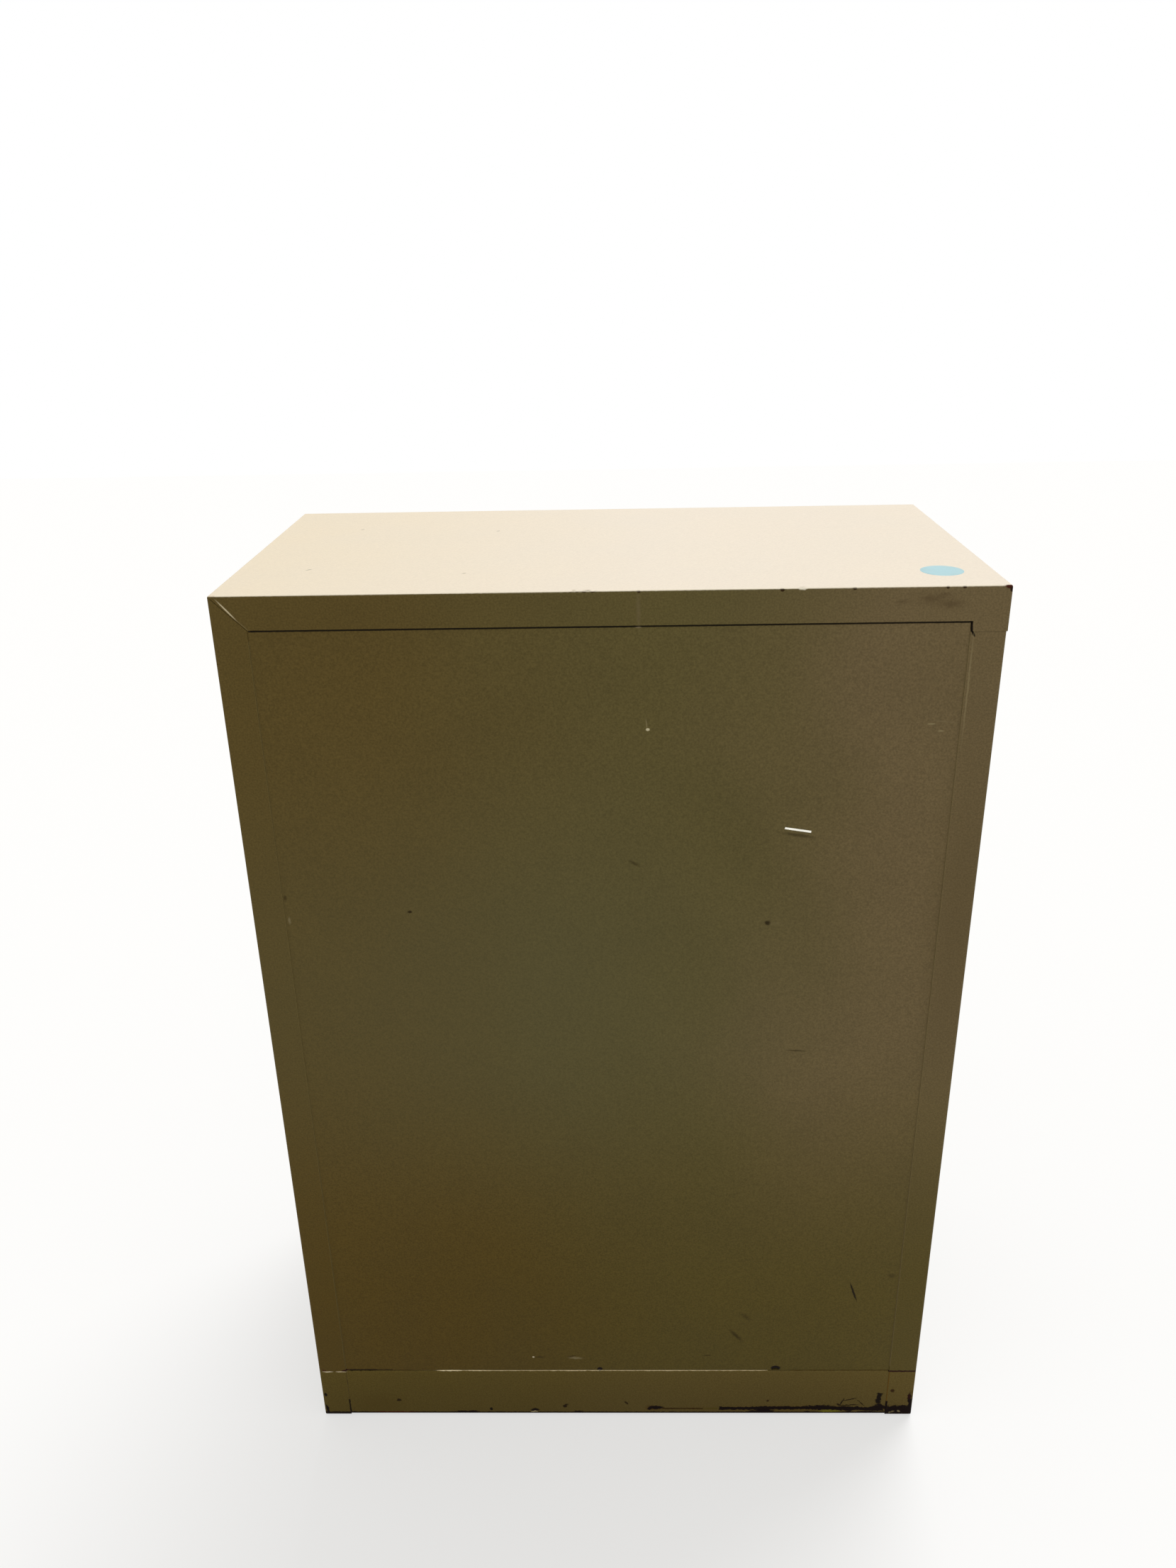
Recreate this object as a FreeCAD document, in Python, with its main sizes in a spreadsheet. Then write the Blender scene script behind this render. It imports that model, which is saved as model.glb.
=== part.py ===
import FreeCAD, Part
import math
import os
from types import SimpleNamespace

import Sketcher

# Four-drawer lateral filing cabinet in folded sheet steel, in millimetres.
# +Z is up and the drawers face -Y. The origin is on the floor under the middle of the case.
# Left and right are those of somebody who stands in front of the drawers: right is +X.

# Driving sizes. Each is written once, here, and every piece reads it from the sheet.
SIZES = {
    # The case as a whole
    "case_width": 914.4,
    "case_height": 1314.45,
    "case_depth": 488.95,
    "base_height": 95.25,
    "case_sheet": 1.2,
    "bend_radius": 3.0,
    "seam_gap": 0.3,
    # The shell's edges: return flanges at the back, stiles and rails at the front
    "back_flange": 41.3,
    "skirt_height": 54.0,
    "skirt_corner": 4.0,
    "stile_width": 22.0,
    "top_rail": 32.0,
    "bottom_rail": 12.0,
    "mitre_slit": 0.6,
    "mitre_start": 3.6,
    # The back panel, a shallow pan behind the return flanges
    "panel_sheet": 0.9,
    "panel_rim": 10.0,
    "panel_inset": 4.0,
    "panel_bend": 2.0,
    "large_notch": 6.0,
    "large_notch_from_right": 700.0,
    "small_notch": 2.5,
    "small_notch_from_right": 432.0,
    # The base frame, its corner feet and what stands on the floor
    "foot_leg": 41.3,
    "foot_sheet": 1.6,
    "base_return": 24.0,
    "glide_height": 4.0,
    "glide_radius": 15.0,
    "glide_inset": 21.0,
    "stem_radius": 5.0,
    "stem_clearance": 0.3,
    "stem_length": 44.0,
    "ballast_length": 700.0,
    "ballast_depth": 70.0,
    "ballast_height": 54.0,
    # Uprights, cross rails and the stiffener inside the case
    "upright_depth": 22.0,
    "upright_width": 32.0,
    "upright_setback": 36.0,
    "upright_rear_gap": 4.0,
    "upright_top_gap": 34.0,
    "slot_width": 4.0,
    "slot_height": 12.0,
    "slot_pitch": 101.6,
    "slot_column": 8.0,
    "cross_rail_height": 18.0,
    "cross_rail_depth": 24.0,
    "cross_rail_setback": 26.0,
    "stiffener_width": 60.0,
    "stiffener_depth": 12.0,
    "stiffener_brim": 14.0,
    "stiffener_end_gap": 40.0,
    # The drawer fronts and their pulls
    "front_gap": 3.2,
    "front_side_gap": 1.6,
    "front_depth": 20.0,
    "front_sheet": 0.9,
    "front_bend": 2.0,
    "liner_rim": 12.0,
    "pull_height": 26.0,
    "pull_wall": 2.0,
    "pull_lip": 10.0,
    "pull_brow": 6.0,
    "pull_scoop": 6.0,
    "pull_lip_round": 0.9,
    "label_width": 76.0,
    "label_height": 28.0,
    "label_thickness": 1.6,
    "label_border": 4.5,
    "label_drop": 22.0,
    "card_depth": 0.7,
    "card_lap": 2.0,
    # The drawer boxes and the rails that hanging folders ride on
    "box_floor": 16.0,
    "box_height": 225.0,
    "box_sheet": 0.9,
    "box_bend": 1.8,
    "box_rear_gap": 18.0,
    "rim_width": 8.0,
    "rim_drop": 5.0,
    "divider_slot_length": 16.0,
    "divider_slot_width": 3.0,
    "divider_slot_pitch": 203.2,
    "divider_slot_margin": 60.0,
    "folder_span": 318.0,
    "folder_rail_inset": 14.0,
    "folder_rail_height": 14.0,
    "folder_rail_thickness": 2.4,
    "folder_rail_hook": 3.0,
    # The telescopic slides
    "slide_space": 19.0,
    "slide_setback": 24.0,
    "slide_rear_gap": 23.75,
    "slide_engaged": 23.6,
    "slide_centre": 50.0,
    "slide_height": 53.0,
    "slide_sheet": 1.6,
    "slide_depth": 14.0,
    "slide_lip": 3.0,
    "race_height": 6.0,
    "race_width": 5.0,
    "race_inset": 7.0,
    "race_step": 1.0,
    "slide_clearance": 0.3,
    "slide_nest": 2.4,
    "slide_stop": 1.9,
    "slide_stop_length": 3.0,
    # The lock, its cam and the bar that holds the drawers shut
    "lock_from_right": 42.0,
    "lock_below_top": 16.5,
    "lock_radius": 9.5,
    "lock_length": 25.0,
    "bezel_radius": 11.5,
    "bezel_height": 1.6,
    "plug_radius": 6.0,
    "plug_clearance": 0.05,
    "keyway_width": 1.6,
    "keyway_height": 7.0,
    "keyway_depth": 12.0,
    "plug_tail": 2.0,
    "cam_plate": 2.0,
    "cam_hub": 6.5,
    "cam_arm": 4.0,
    "cam_pin": 2.0,
    "cam_pin_length": 4.0,
    "cam_play": 0.5,
    "crank": 10.0,
    "lock_swing": 90.0,
    "lock_bar_sheet": 2.0,
    "lock_bar_width": 14.0,
    "lock_bar_in_upright": 11.0,
    "lock_bar_setback": 14.0,
    "lock_plate_height": 11.0,
    "lock_plate_lap": 5.0,
    "hook_level": 106.0,
    "hook_height": 10.0,
    "hook_thickness": 3.0,
    "hook_setback": 20.0,
    "hook_reach": 13.0,
    "catch_rise": 2.0,
    "catch_reach": 12.0,
    "catch_sheet": 2.0,
    "catch_foot": 14.0,
    "catch_height": 10.0,
    "catch_play": 1.0,
}
DRAWER_COUNT = 4


class Size:
    """A length that knows both its value and the formula that ties it to the sheet."""

    def __init__(self, value, formula):
        self.value = value
        self.formula = formula

    def __add__(self, other):
        other = as_size(other)
        return Size(self.value + other.value, f"({self.formula} + {other.formula})")

    def __sub__(self, other):
        other = as_size(other)
        return Size(self.value - other.value, f"({self.formula} - {other.formula})")

    def __mul__(self, other):
        other = as_size(other)
        return Size(self.value * other.value, f"({self.formula} * {other.formula})")

    def __truediv__(self, other):
        other = as_size(other)
        return Size(self.value / other.value, f"({self.formula} / {other.formula})")

    def __neg__(self):
        return Size(-self.value, f"(0 - {self.formula})")

    def __radd__(self, other):
        return as_size(other) + self

    def __rsub__(self, other):
        return as_size(other) - self

    def __rmul__(self, other):
        return as_size(other) * self


def as_size(number):
    """A plain number as a Size, and a Size as it is."""
    return number if isinstance(number, Size) else Size(number, repr(number))


def sine(angle):
    """The sine of a Size in degrees."""
    return Size(math.sin(math.radians(angle.value)), f"sin({angle.formula} * 1 deg)")


def cosine(angle):
    """The cosine of a Size in degrees."""
    return Size(math.cos(math.radians(angle.value)), f"cos({angle.formula} * 1 deg)")


doc = FreeCAD.newDocument("filing_cabinet")
sheet = doc.addObject("Spreadsheet::Sheet", "Sizes")
for row, (name, number) in enumerate(SIZES.items(), start=1):
    sheet.set(f"A{row}", name)
    sheet.set(f"B{row}", str(number))
    sheet.setAlias(f"B{row}", name)
doc.recompute()

cab = SimpleNamespace(**{name: Size(number, f"Sizes.{name}") for name, number in SIZES.items()})
ZERO = as_size(0)
ACROSS = FreeCAD.Vector(1, 0, 0)
BACKWARDS = FreeCAD.Vector(0, 1, 0)
# How far a cut starts and ends outside the solid that it goes through
PAST = 1

# Places that several pieces share, worked out from the driving sizes.
right_face = cab.case_width / 2
front_face = -cab.case_depth / 2
back_face = cab.case_depth / 2
opening_half = right_face - cab.stile_width
case_floor = cab.base_height + cab.case_sheet
panel_back = back_face - cab.case_sheet
panel_front = panel_back - cab.panel_rim
module = (cab.case_height - cab.base_height - cab.bottom_rail - cab.top_rail) / DRAWER_COUNT
slide_face = right_face - cab.case_sheet - cab.upright_depth
upright_front = front_face + cab.upright_setback
box_half = slide_face - cab.slide_space
box_front = front_face + cab.front_depth
box_back = panel_front - cab.box_rear_gap
box_top = cab.box_floor + cab.box_height
front_half = opening_half - cab.front_side_gap
front_bottom = cab.front_gap / 2
pull_bottom = module - cab.front_gap / 2 - cab.pull_height
slide_front = front_face + cab.slide_setback
slide_back = panel_front - cab.slide_rear_gap
slide_length = slide_back - slide_front
drawer_travel = slide_length - cab.slide_engaged
lock_x = right_face - cab.lock_from_right
lock_z = cab.case_height - cab.lock_below_top
lock_half_swing = cab.lock_swing / 2
lock_travel = cab.crank * sine(lock_half_swing) * 2
lock_bar_x = slide_face + cab.lock_bar_in_upright
hook_front = upright_front + cab.hook_setback
cam_front = front_face + cab.lock_length + cab.plug_tail
pin_x = lock_x + cab.crank * cosine(lock_half_swing)
pin_z = lock_z - cab.crank * sine(lock_half_swing)

parts = {}


def drawer_floor(number):
    """The height of the floor of a drawer's module; drawer 1 is at the top."""
    return cab.base_height + cab.bottom_rail + module * (DRAWER_COUNT - number)


def keep(label, thing):
    """Enters a finished sub-part under the name of its file."""
    thing.Label = label
    parts[label] = thing
    return thing


def new_body(name, level=ZERO):
    """An empty body; its placement lifts it to a level."""
    body = doc.addObject("PartDesign::Body", name)
    body.setExpression("Placement.Base.z", level.formula)
    return body


def origin_feature(body, role):
    """One of the body's own origin planes or axes."""
    return [feature for feature in body.Origin.OriginFeatures if feature.Role == role][0]


def new_sketch(body, plane, away=ZERO):
    """A sketch on one of the body's own planes, moved away along the plane's normal."""
    sketch = body.newObject("Sketcher::SketchObject", body.Name + "_sketch")
    sketch.AttachmentSupport = [(origin_feature(body, plane), "")]
    sketch.MapMode = "FlatFace"
    sketch.setExpression("AttachmentOffset.Base.z", away.formula)
    return sketch


def fix_point(sketch, geometry, end, place):
    """Ties one point of a sketch to its distances from the sketch's origin."""
    for kind, distance in zip(("DistanceX", "DistanceY"), place):
        distance = as_size(distance)
        row = sketch.addConstraint(Sketcher.Constraint(kind, -1, 1, geometry, end, distance.value))
        sketch.setExpression(f"Constraints[{row}]", distance.formula)


def draw_outline(sketch, points):
    """A closed outline through the points, each a pair of Sizes."""
    corners = [FreeCAD.Vector(as_size(u).value, as_size(v).value, 0) for u, v in points]
    first = sketch.GeometryCount
    count = len(corners)
    for index, corner in enumerate(corners):
        sketch.addGeometry(Part.LineSegment(corner, corners[(index + 1) % count]))
    for index, place in enumerate(points):
        before = first + (index - 1) % count
        sketch.addConstraint(Sketcher.Constraint("Coincident", before, 2, first + index, 1))
        fix_point(sketch, first + index, 1, place)


def draw_circle(sketch, centre, radius):
    """A circle about a centre, a pair of Sizes."""
    middle = FreeCAD.Vector(as_size(centre[0]).value, as_size(centre[1]).value, 0)
    circle = sketch.addGeometry(Part.Circle(middle, FreeCAD.Vector(0, 0, 1), radius.value))
    fix_point(sketch, circle, 3, centre)
    row = sketch.addConstraint(Sketcher.Constraint("Radius", circle, radius.value))
    sketch.setExpression(f"Constraints[{row}]", radius.formula)


def box_corners(low, high):
    """The four corners of an upright rectangle between two corners."""
    return [(low[0], low[1]), (high[0], low[1]), (high[0], high[1]), (low[0], high[1])]


def raise_from(body, sketch, length, backwards=False):
    """Pads a sketch; backwards goes against the plane's normal."""
    pad = body.newObject("PartDesign::Pad", body.Name + "_pad")
    pad.Profile = sketch
    pad.setExpression("Length", as_size(length).formula)
    pad.Reversed = backwards
    return pad


def cut_into(body, sketch, depth, backwards=False):
    """Cuts a sketch out of the body, and makes sure that it met the solid."""
    doc.recompute()
    before = body.Shape.Volume
    pocket = body.newObject("PartDesign::Pocket", body.Name + "_cut")
    pocket.Profile = sketch
    pocket.setExpression("Length", as_size(depth).formula)
    pocket.Reversed = backwards
    doc.recompute()
    if body.Shape.Volume >= before:
        raise RuntimeError(f"a cut in {body.Name} misses its solid")
    return pocket


def sketch_from(body, plane, start):
    """A sketch across X, Y or Z at a distance from the origin along that axis."""
    start = as_size(start)
    return new_sketch(body, plane, -start if plane == "XZ_Plane" else start)


def slab(body, plane, low, high, start, length):
    """A rectangular pad that starts at a distance along +X, +Y or +Z and grows the same way."""
    sketch = sketch_from(body, plane, start)
    draw_outline(sketch, box_corners(low, high))
    return raise_from(body, sketch, length, backwards=plane == "XZ_Plane")


def prism(body, plane, points, start, length):
    """A pad of an outline that starts and grows as a slab does."""
    sketch = sketch_from(body, plane, start)
    draw_outline(sketch, points)
    return raise_from(body, sketch, length, backwards=plane == "XZ_Plane")


def rod(body, plane, centre, radius, start, length):
    """A round pad that starts and grows as a slab does."""
    sketch = sketch_from(body, plane, start)
    draw_circle(sketch, centre, radius)
    return raise_from(body, sketch, length, backwards=plane == "XZ_Plane")


def window(body, plane, low, high, start, depth):
    """A rectangular cut that starts at a distance along +X, +Y or +Z and goes the same way."""
    return opening(body, plane, box_corners(low, high), start, depth)


def opening(body, plane, points, start, depth):
    """A cut of an outline that starts and goes as a window does."""
    sketch = sketch_from(body, plane, start)
    draw_outline(sketch, points)
    return cut_into(body, sketch, depth, backwards=plane != "XZ_Plane")


def bore(body, plane, centre, radius, start, depth):
    """A round cut that starts and goes as a window does."""
    sketch = sketch_from(body, plane, start)
    draw_circle(sketch, centre, radius)
    return cut_into(body, sketch, depth, backwards=plane != "XZ_Plane")


def near(first, second):
    """Whether two lengths agree to a hundredth of a millimetre."""
    return abs(first - second) < 0.01


def along(edge, axis):
    """Whether an edge is straight and runs along X, Y or Z."""
    box = edge.BoundBox
    spans = {"X": box.XLength, "Y": box.YLength, "Z": box.ZLength}
    return spans.pop(axis) > 0.5 and max(spans.values()) < 0.001


def edge_names(feature, wanted):
    """The names of a feature's edges that a test picks by their bounding boxes."""
    doc.recompute()
    edges = enumerate(feature.Shape.Edges, start=1)
    names = [f"Edge{index}" for index, edge in edges if wanted(edge)]
    if not names:
        raise RuntimeError(f"{feature.Name} has no such edge")
    return names


def round_edges(body, wanted, radius):
    """Rounds the picked edges of the body as it stands."""
    base = body.Tip
    fillet = body.newObject("PartDesign::Fillet", body.Name + "_bend")
    fillet.Base = (base, edge_names(base, wanted))
    fillet.setExpression("Radius", as_size(radius).formula)
    return fillet


def bevel_edges(body, wanted, width):
    """Bevels the picked edges of the body as it stands."""
    base = body.Tip
    chamfer = body.newObject("PartDesign::Chamfer", body.Name + "_bevel")
    chamfer.Base = (base, edge_names(base, wanted))
    chamfer.setExpression("Size", as_size(width).formula)
    return chamfer


def hollow(body, wall, open_face):
    """Turns the body into a skin of sheet that lies inside it, open at the picked faces."""
    doc.recompute()
    base = body.Tip
    faces = enumerate(base.Shape.Faces, start=1)
    names = [f"Face{index}" for index, face in faces if open_face(face.BoundBox)]
    skin = body.newObject("PartDesign::Thickness", body.Name + "_skin")
    skin.Base = (base, names)
    skin.setExpression("Value", as_size(wall).formula)
    skin.Reversed = True
    return skin


def repeat(body, feature, axis, pitch, count):
    """Repeats a cut at a pitch along one of the two axes of its sketch."""
    doc.recompute()
    pattern = body.newObject("PartDesign::LinearPattern", body.Name + "_row")
    pattern.Originals = [feature]
    pattern.Direction = (feature.Profile[0], [axis])
    pattern.Mode = "Spacing"
    pattern.setExpression("Offset", as_size(pitch).formula)
    pattern.Occurrences = count
    body.Tip = pattern
    return pattern


def mirrored(source, name, normal):
    """A mirror image of a piece across the plane through the origin."""
    image = doc.addObject("Part::Mirroring", name)
    image.Source = source
    image.Normal = normal
    return image


def left_and_right(body):
    """A piece and its mirror image on the other side of the cabinet, as one sub-part."""
    pair = doc.addObject("Part::Compound", body.Name + "_pair")
    pair.Links = [body, mirrored(body, body.Name + "_left", ACROSS)]
    return pair


def four_corners(body):
    """A piece at each corner of the cabinet, as one sub-part."""
    pair = left_and_right(body)
    four = doc.addObject("Part::Compound", body.Name + "_four")
    four.Links = [pair, mirrored(pair, body.Name + "_front", BACKWARDS)]
    return four


# The shell: one sheet folded over the right side and the top, ending in a skirt that laps the
# left side. Its edges return as flanges at the back and as a stile and a rail at the front.
def make_case_wrapper():
    body = new_body("case_wrapper")
    top = cab.case_height
    skirt_face = -(right_face + cab.case_sheet + cab.seam_gap)
    height = top - cab.base_height
    slab(
        body, "XY_Plane", (skirt_face, front_face), (right_face, back_face), cab.base_height, height
    )
    round_edges(
        body, lambda e: along(e, "Z") or near(e.BoundBox.ZMin, top.value), cab.bend_radius
    )
    hollow(body, cab.case_sheet, lambda box: near(box.ZMax, cab.base_height.value))
    reach = cab.bend_radius * 2
    low = cab.base_height - reach
    flange_half = right_face - cab.back_flange
    window(
        body,
        "XZ_Plane",
        (-flange_half, low),
        (flange_half, top - cab.back_flange),
        back_face - reach,
        reach * 2,
    )
    window(
        body,
        "XZ_Plane",
        (-opening_half, low),
        (opening_half, top - cab.top_rail),
        front_face - reach,
        reach * 2,
    )
    # The left side is a panel of its own, so below the skirt the sheet stops there
    window(
        body,
        "YZ_Plane",
        (front_face - reach, low),
        (back_face + reach, top - cab.skirt_height),
        skirt_face - reach,
        cab.back_flange + cab.case_sheet + cab.seam_gap + reach,
    )
    round_edges(
        body,
        lambda e: along(e, "Y")
        and near(e.BoundBox.ZMin, (top - cab.skirt_height).value)
        and near(e.BoundBox.XMin, -flange_half.value)
        and e.BoundBox.YMin > 0,
        cab.skirt_corner,
    )
    # The flanges of the right side and of the top meet in mitres, at the back and at the front
    cut_mitre(body, flange_half, top - cab.back_flange, back_face - reach)
    cut_mitre(body, opening_half, top - cab.top_rail, front_face - reach)
    hole = cab.lock_radius + cab.seam_gap
    bore(body, "XZ_Plane", (lock_x, lock_z), hole, front_face - reach, reach * 2)
    return body


def cut_mitre(body, inner_x, inner_z, start):
    """A slit from just inside the shell's top right corner to the corner of a window."""
    outer_x = right_face - cab.mitre_start
    outer_z = cab.case_height - cab.mitre_start
    half = cab.mitre_slit * math.sqrt(0.5)
    past = cab.mitre_slit
    points = [
        (outer_x, outer_z - half),
        (outer_x, outer_z + half),
        (inner_x - past, inner_z - past + half),
        (inner_x - past, inner_z - past - half),
    ]
    opening(body, "XZ_Plane", points, start, cab.bend_radius * 4)


# The left side: a panel with a stile at the front and a flange at the back. Its plain upper
# edge slips under the shell's skirt.
def make_left_side_panel():
    body = new_body("left_side_panel")
    wall = cab.case_sheet
    outer = -right_face
    flange_edge = -(right_face - cab.back_flange)
    points = [
        (outer, front_face),
        (-opening_half, front_face),
        (-opening_half, front_face + wall),
        (outer + wall, front_face + wall),
        (outer + wall, back_face - wall),
        (flange_edge, back_face - wall),
        (flange_edge, back_face),
        (outer, back_face),
    ]
    top = cab.case_height - cab.bend_radius - cab.seam_gap
    prism(body, "XY_Plane", points, cab.base_height, top - cab.base_height)
    round_edges(
        body,
        lambda e: along(e, "Z") and near(e.BoundBox.XMin, outer.value),
        cab.bend_radius,
    )
    round_edges(
        body,
        lambda e: along(e, "Z") and near(e.BoundBox.XMin, (outer + wall).value),
        cab.bend_radius - wall,
    )
    notch_foot = cab.case_height - cab.skirt_height - cab.seam_gap
    clear = cab.bend_radius + cab.seam_gap
    reach = cab.back_flange + cab.bend_radius * 2
    for near_edge, far_edge in (
        (front_face - clear, front_face + clear),
        (back_face - clear, back_face + clear),
    ):
        window(
            body,
            "YZ_Plane",
            (near_edge, notch_foot),
            (far_edge, cab.case_height),
            outer - cab.bend_radius,
            reach,
        )
    return body


# The back: a shallow pan whose flat lies against the inside of the return flanges.
def make_back_panel():
    body = new_body("back_panel")
    half = right_face - cab.panel_inset
    height = cab.case_height - cab.case_sheet - cab.panel_inset - cab.base_height
    slab(
        body,
        "XZ_Plane",
        (-half, cab.base_height),
        (half, cab.base_height + height),
        panel_front,
        cab.panel_rim,
    )
    round_edges(
        body,
        lambda e: near(e.BoundBox.YMin, panel_back.value),
        cab.panel_bend,
    )
    hollow(body, cab.panel_sheet, lambda box: near(box.YMax, panel_front.value))
    for radius, place in (
        (cab.large_notch, cab.large_notch_from_right),
        (cab.small_notch, cab.small_notch_from_right),
    ):
        centre = (right_face - place, cab.base_height)
        bore(body, "XZ_Plane", centre, radius, panel_front - PAST, cab.panel_rim + PAST * 2)
    return body


# The floor of the case: a plate on the base, with the bottom rail folded up at the front.
def make_case_bottom():
    body = new_body("case_bottom")
    wall = cab.case_sheet
    half = right_face - cab.bend_radius
    slab(
        body,
        "XY_Plane",
        (-half, front_face + wall * 2),
        (half, panel_front - cab.seam_gap),
        cab.base_height,
        wall,
    )
    rail_half = opening_half - cab.seam_gap
    lip = [
        (front_face, cab.base_height),
        (front_face + wall * 3, cab.base_height),
        (front_face + wall * 3, cab.base_height + wall),
        (front_face + wall, cab.base_height + wall),
        (front_face + wall, cab.base_height + cab.bottom_rail),
        (front_face, cab.base_height + cab.bottom_rail),
    ]
    prism(body, "YZ_Plane", lip, -rail_half, rail_half * 2)
    return body


# A hat-shaped stiffener spot-welded under the top.
def make_top_stiffener():
    body = new_body("top_stiffener")
    wall = cab.case_sheet
    under = cab.case_height - wall
    crown = cab.stiffener_width / 2
    brim = crown + cab.stiffener_brim
    foot = under - cab.stiffener_depth
    points = [
        (-brim, under),
        (-crown + wall, under),
        (-crown + wall, foot + wall),
        (crown - wall, foot + wall),
        (crown - wall, under),
        (brim, under),
        (brim, under - wall),
        (crown, under - wall),
        (crown, foot),
        (-crown, foot),
        (-crown, under - wall),
        (-brim, under - wall),
    ]
    half = right_face - cab.stiffener_end_gap
    prism(body, "YZ_Plane", points, -half, half * 2)
    return body


def channel(face, inward, low, high, wall):
    """The outline of a channel with its web on a face and both returns going inward."""
    step = wall * inward
    tip = face + cab.base_return * inward
    return [
        (face, low),
        (face, high),
        (tip, high),
        (tip, high - wall),
        (face + step, high - wall),
        (face + step, low + wall),
        (tip, low + wall),
        (tip, low),
    ]


# A rail of the base: a channel between two corner feet, with its web on a face of the case.
def make_base_rail(name, plane, face, inward, corner):
    body = new_body(name)
    wall = cab.foot_sheet
    half = corner - cab.foot_leg - cab.seam_gap
    outline = channel(face, inward, cab.glide_height, cab.base_height, wall)
    prism(body, plane, outline, -half, half * 2)
    axis, across = ("X", "YMin") if plane == "YZ_Plane" else ("Y", "XMin")
    for web, radius in ((face, cab.bend_radius), (face + wall * inward, cab.bend_radius - wall)):
        place = web.value
        round_edges(
            body, lambda e: along(e, axis) and near(getattr(e.BoundBox, across), place), radius
        )
    return body


# The corner feet: an angle closed by a plate at the top and by one that holds the glide.
def make_corner_feet():
    body = new_body("corner_foot")
    inner_x = right_face - cab.foot_leg
    inner_y = back_face - cab.foot_leg
    slab(
        body,
        "XY_Plane",
        (inner_x, inner_y),
        (right_face, back_face),
        cab.glide_height,
        cab.base_height - cab.glide_height,
    )
    round_edges(
        body,
        lambda e: near(e.BoundBox.XMin, right_face.value)
        and near(e.BoundBox.YMin, back_face.value),
        cab.bend_radius,
    )
    hollow(
        body,
        cab.foot_sheet,
        lambda box: near(box.XMax, inner_x.value) or near(box.YMax, inner_y.value),
    )
    centre = (right_face - cab.glide_inset, back_face - cab.glide_inset)
    hole = cab.stem_radius + cab.stem_clearance
    bore(body, "XY_Plane", centre, hole, cab.glide_height - PAST, cab.foot_sheet + PAST * 2)
    return four_corners(body)


# The glides: a stem with a round pad under the foot.
def make_levelling_glides():
    body = new_body("levelling_glide")
    centre = (right_face - cab.glide_inset, back_face - cab.glide_inset)
    rod(body, "XY_Plane", centre, cab.glide_radius, 0, cab.glide_height)
    rod(body, "XY_Plane", centre, cab.stem_radius, cab.glide_height, cab.stem_length)
    return four_corners(body)


# A steel bar under the floor at the back, which keeps the cabinet upright with a drawer out.
def make_ballast():
    body = new_body("ballast_bar")
    half = cab.ballast_length / 2
    rear = back_face - cab.base_return - cab.seam_gap
    slab(
        body,
        "XY_Plane",
        (-half, rear - cab.ballast_depth),
        (half, rear),
        cab.base_height - cab.ballast_height,
        cab.ballast_height,
    )
    round_edges(body, lambda e: along(e, "Z"), cab.bend_radius)
    return body


# An upright of the right side: a channel that stands open towards the side wall. Its web has a
# row of slots for the slides, and the front one has a window for each hook of the lock bar.
def make_upright(name, start, with_lock):
    body = new_body(name)
    wall = cab.case_sheet
    web = slide_face
    seat = right_face - wall
    end = start + cab.upright_width
    points = [
        (seat, start),
        (web, start),
        (web, end),
        (seat, end),
        (seat, end - wall),
        (web + wall, end - wall),
        (web + wall, start + wall),
        (seat, start + wall),
    ]
    height = cab.case_height - cab.upright_top_gap - case_floor
    prism(body, "XY_Plane", points, case_floor, height)
    first = case_floor + cab.slot_pitch / 2
    middle = start + cab.slot_column
    slot = window(
        body,
        "YZ_Plane",
        (middle - cab.slot_width / 2, first),
        (middle + cab.slot_width / 2, first + cab.slot_height),
        web - PAST,
        wall + PAST * 2,
    )
    count = int((height - cab.slot_pitch / 2 - cab.slot_height).value // cab.slot_pitch.value) + 1
    repeat(body, slot, "V_Axis", cab.slot_pitch, count)
    if with_lock:
        for number in range(1, DRAWER_COUNT + 1):
            sill = drawer_floor(number) + cab.hook_level - cab.seam_gap
            room = cab.hook_height + lock_travel + cab.cam_play * 2
            window(
                body,
                "YZ_Plane",
                (hook_front - cab.cam_play, sill),
                (hook_front + cab.hook_thickness + cab.cam_play, sill + room),
                web - PAST,
                wall + PAST * 2,
            )
    return body


# The rails between the drawers, which tie the front uprights together.
def make_cross_rails():
    body = new_body("cross_rails")
    wall = cab.case_sheet
    front = front_face + cab.cross_rail_setback
    rear = front + cab.cross_rail_depth
    for number in range(1, DRAWER_COUNT):
        low = drawer_floor(number) - cab.cross_rail_height / 2
        high = low + cab.cross_rail_height
        points = [
            (front, low),
            (rear, low),
            (rear, low + wall),
            (front + wall, low + wall),
            (front + wall, high - wall),
            (rear, high - wall),
            (rear, high),
            (front, high),
        ]
        prism(body, "YZ_Plane", points, -slide_face, slide_face * 2)
    return body


# A drawer front: a pan with rounded edges, open at the back, below the pull.
def make_drawer_front(number):
    body = new_body(f"drawer_{number}_front", drawer_floor(number))
    slab(
        body,
        "XZ_Plane",
        (-front_half, front_bottom),
        (front_half, pull_bottom),
        front_face,
        cab.front_depth,
    )
    round_edges(body, lambda e: near(e.BoundBox.YMax, front_face.value), cab.front_bend)
    hollow(body, cab.front_sheet, lambda box: near(box.YMin, box_front.value))
    return body


# The liner that closes the front's back and carries the box.
def make_drawer_liner(number):
    body = new_body(f"drawer_{number}_liner", drawer_floor(number))
    inset = cab.front_sheet + cab.seam_gap
    half = front_half - inset
    slab(
        body,
        "XZ_Plane",
        (-half, front_bottom + inset),
        (half, pull_bottom - inset),
        box_front - cab.liner_rim,
        cab.liner_rim,
    )
    hollow(
        body,
        cab.front_sheet,
        lambda box: near(box.YMax, (box_front - cab.liner_rim).value),
    )
    return body


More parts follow.
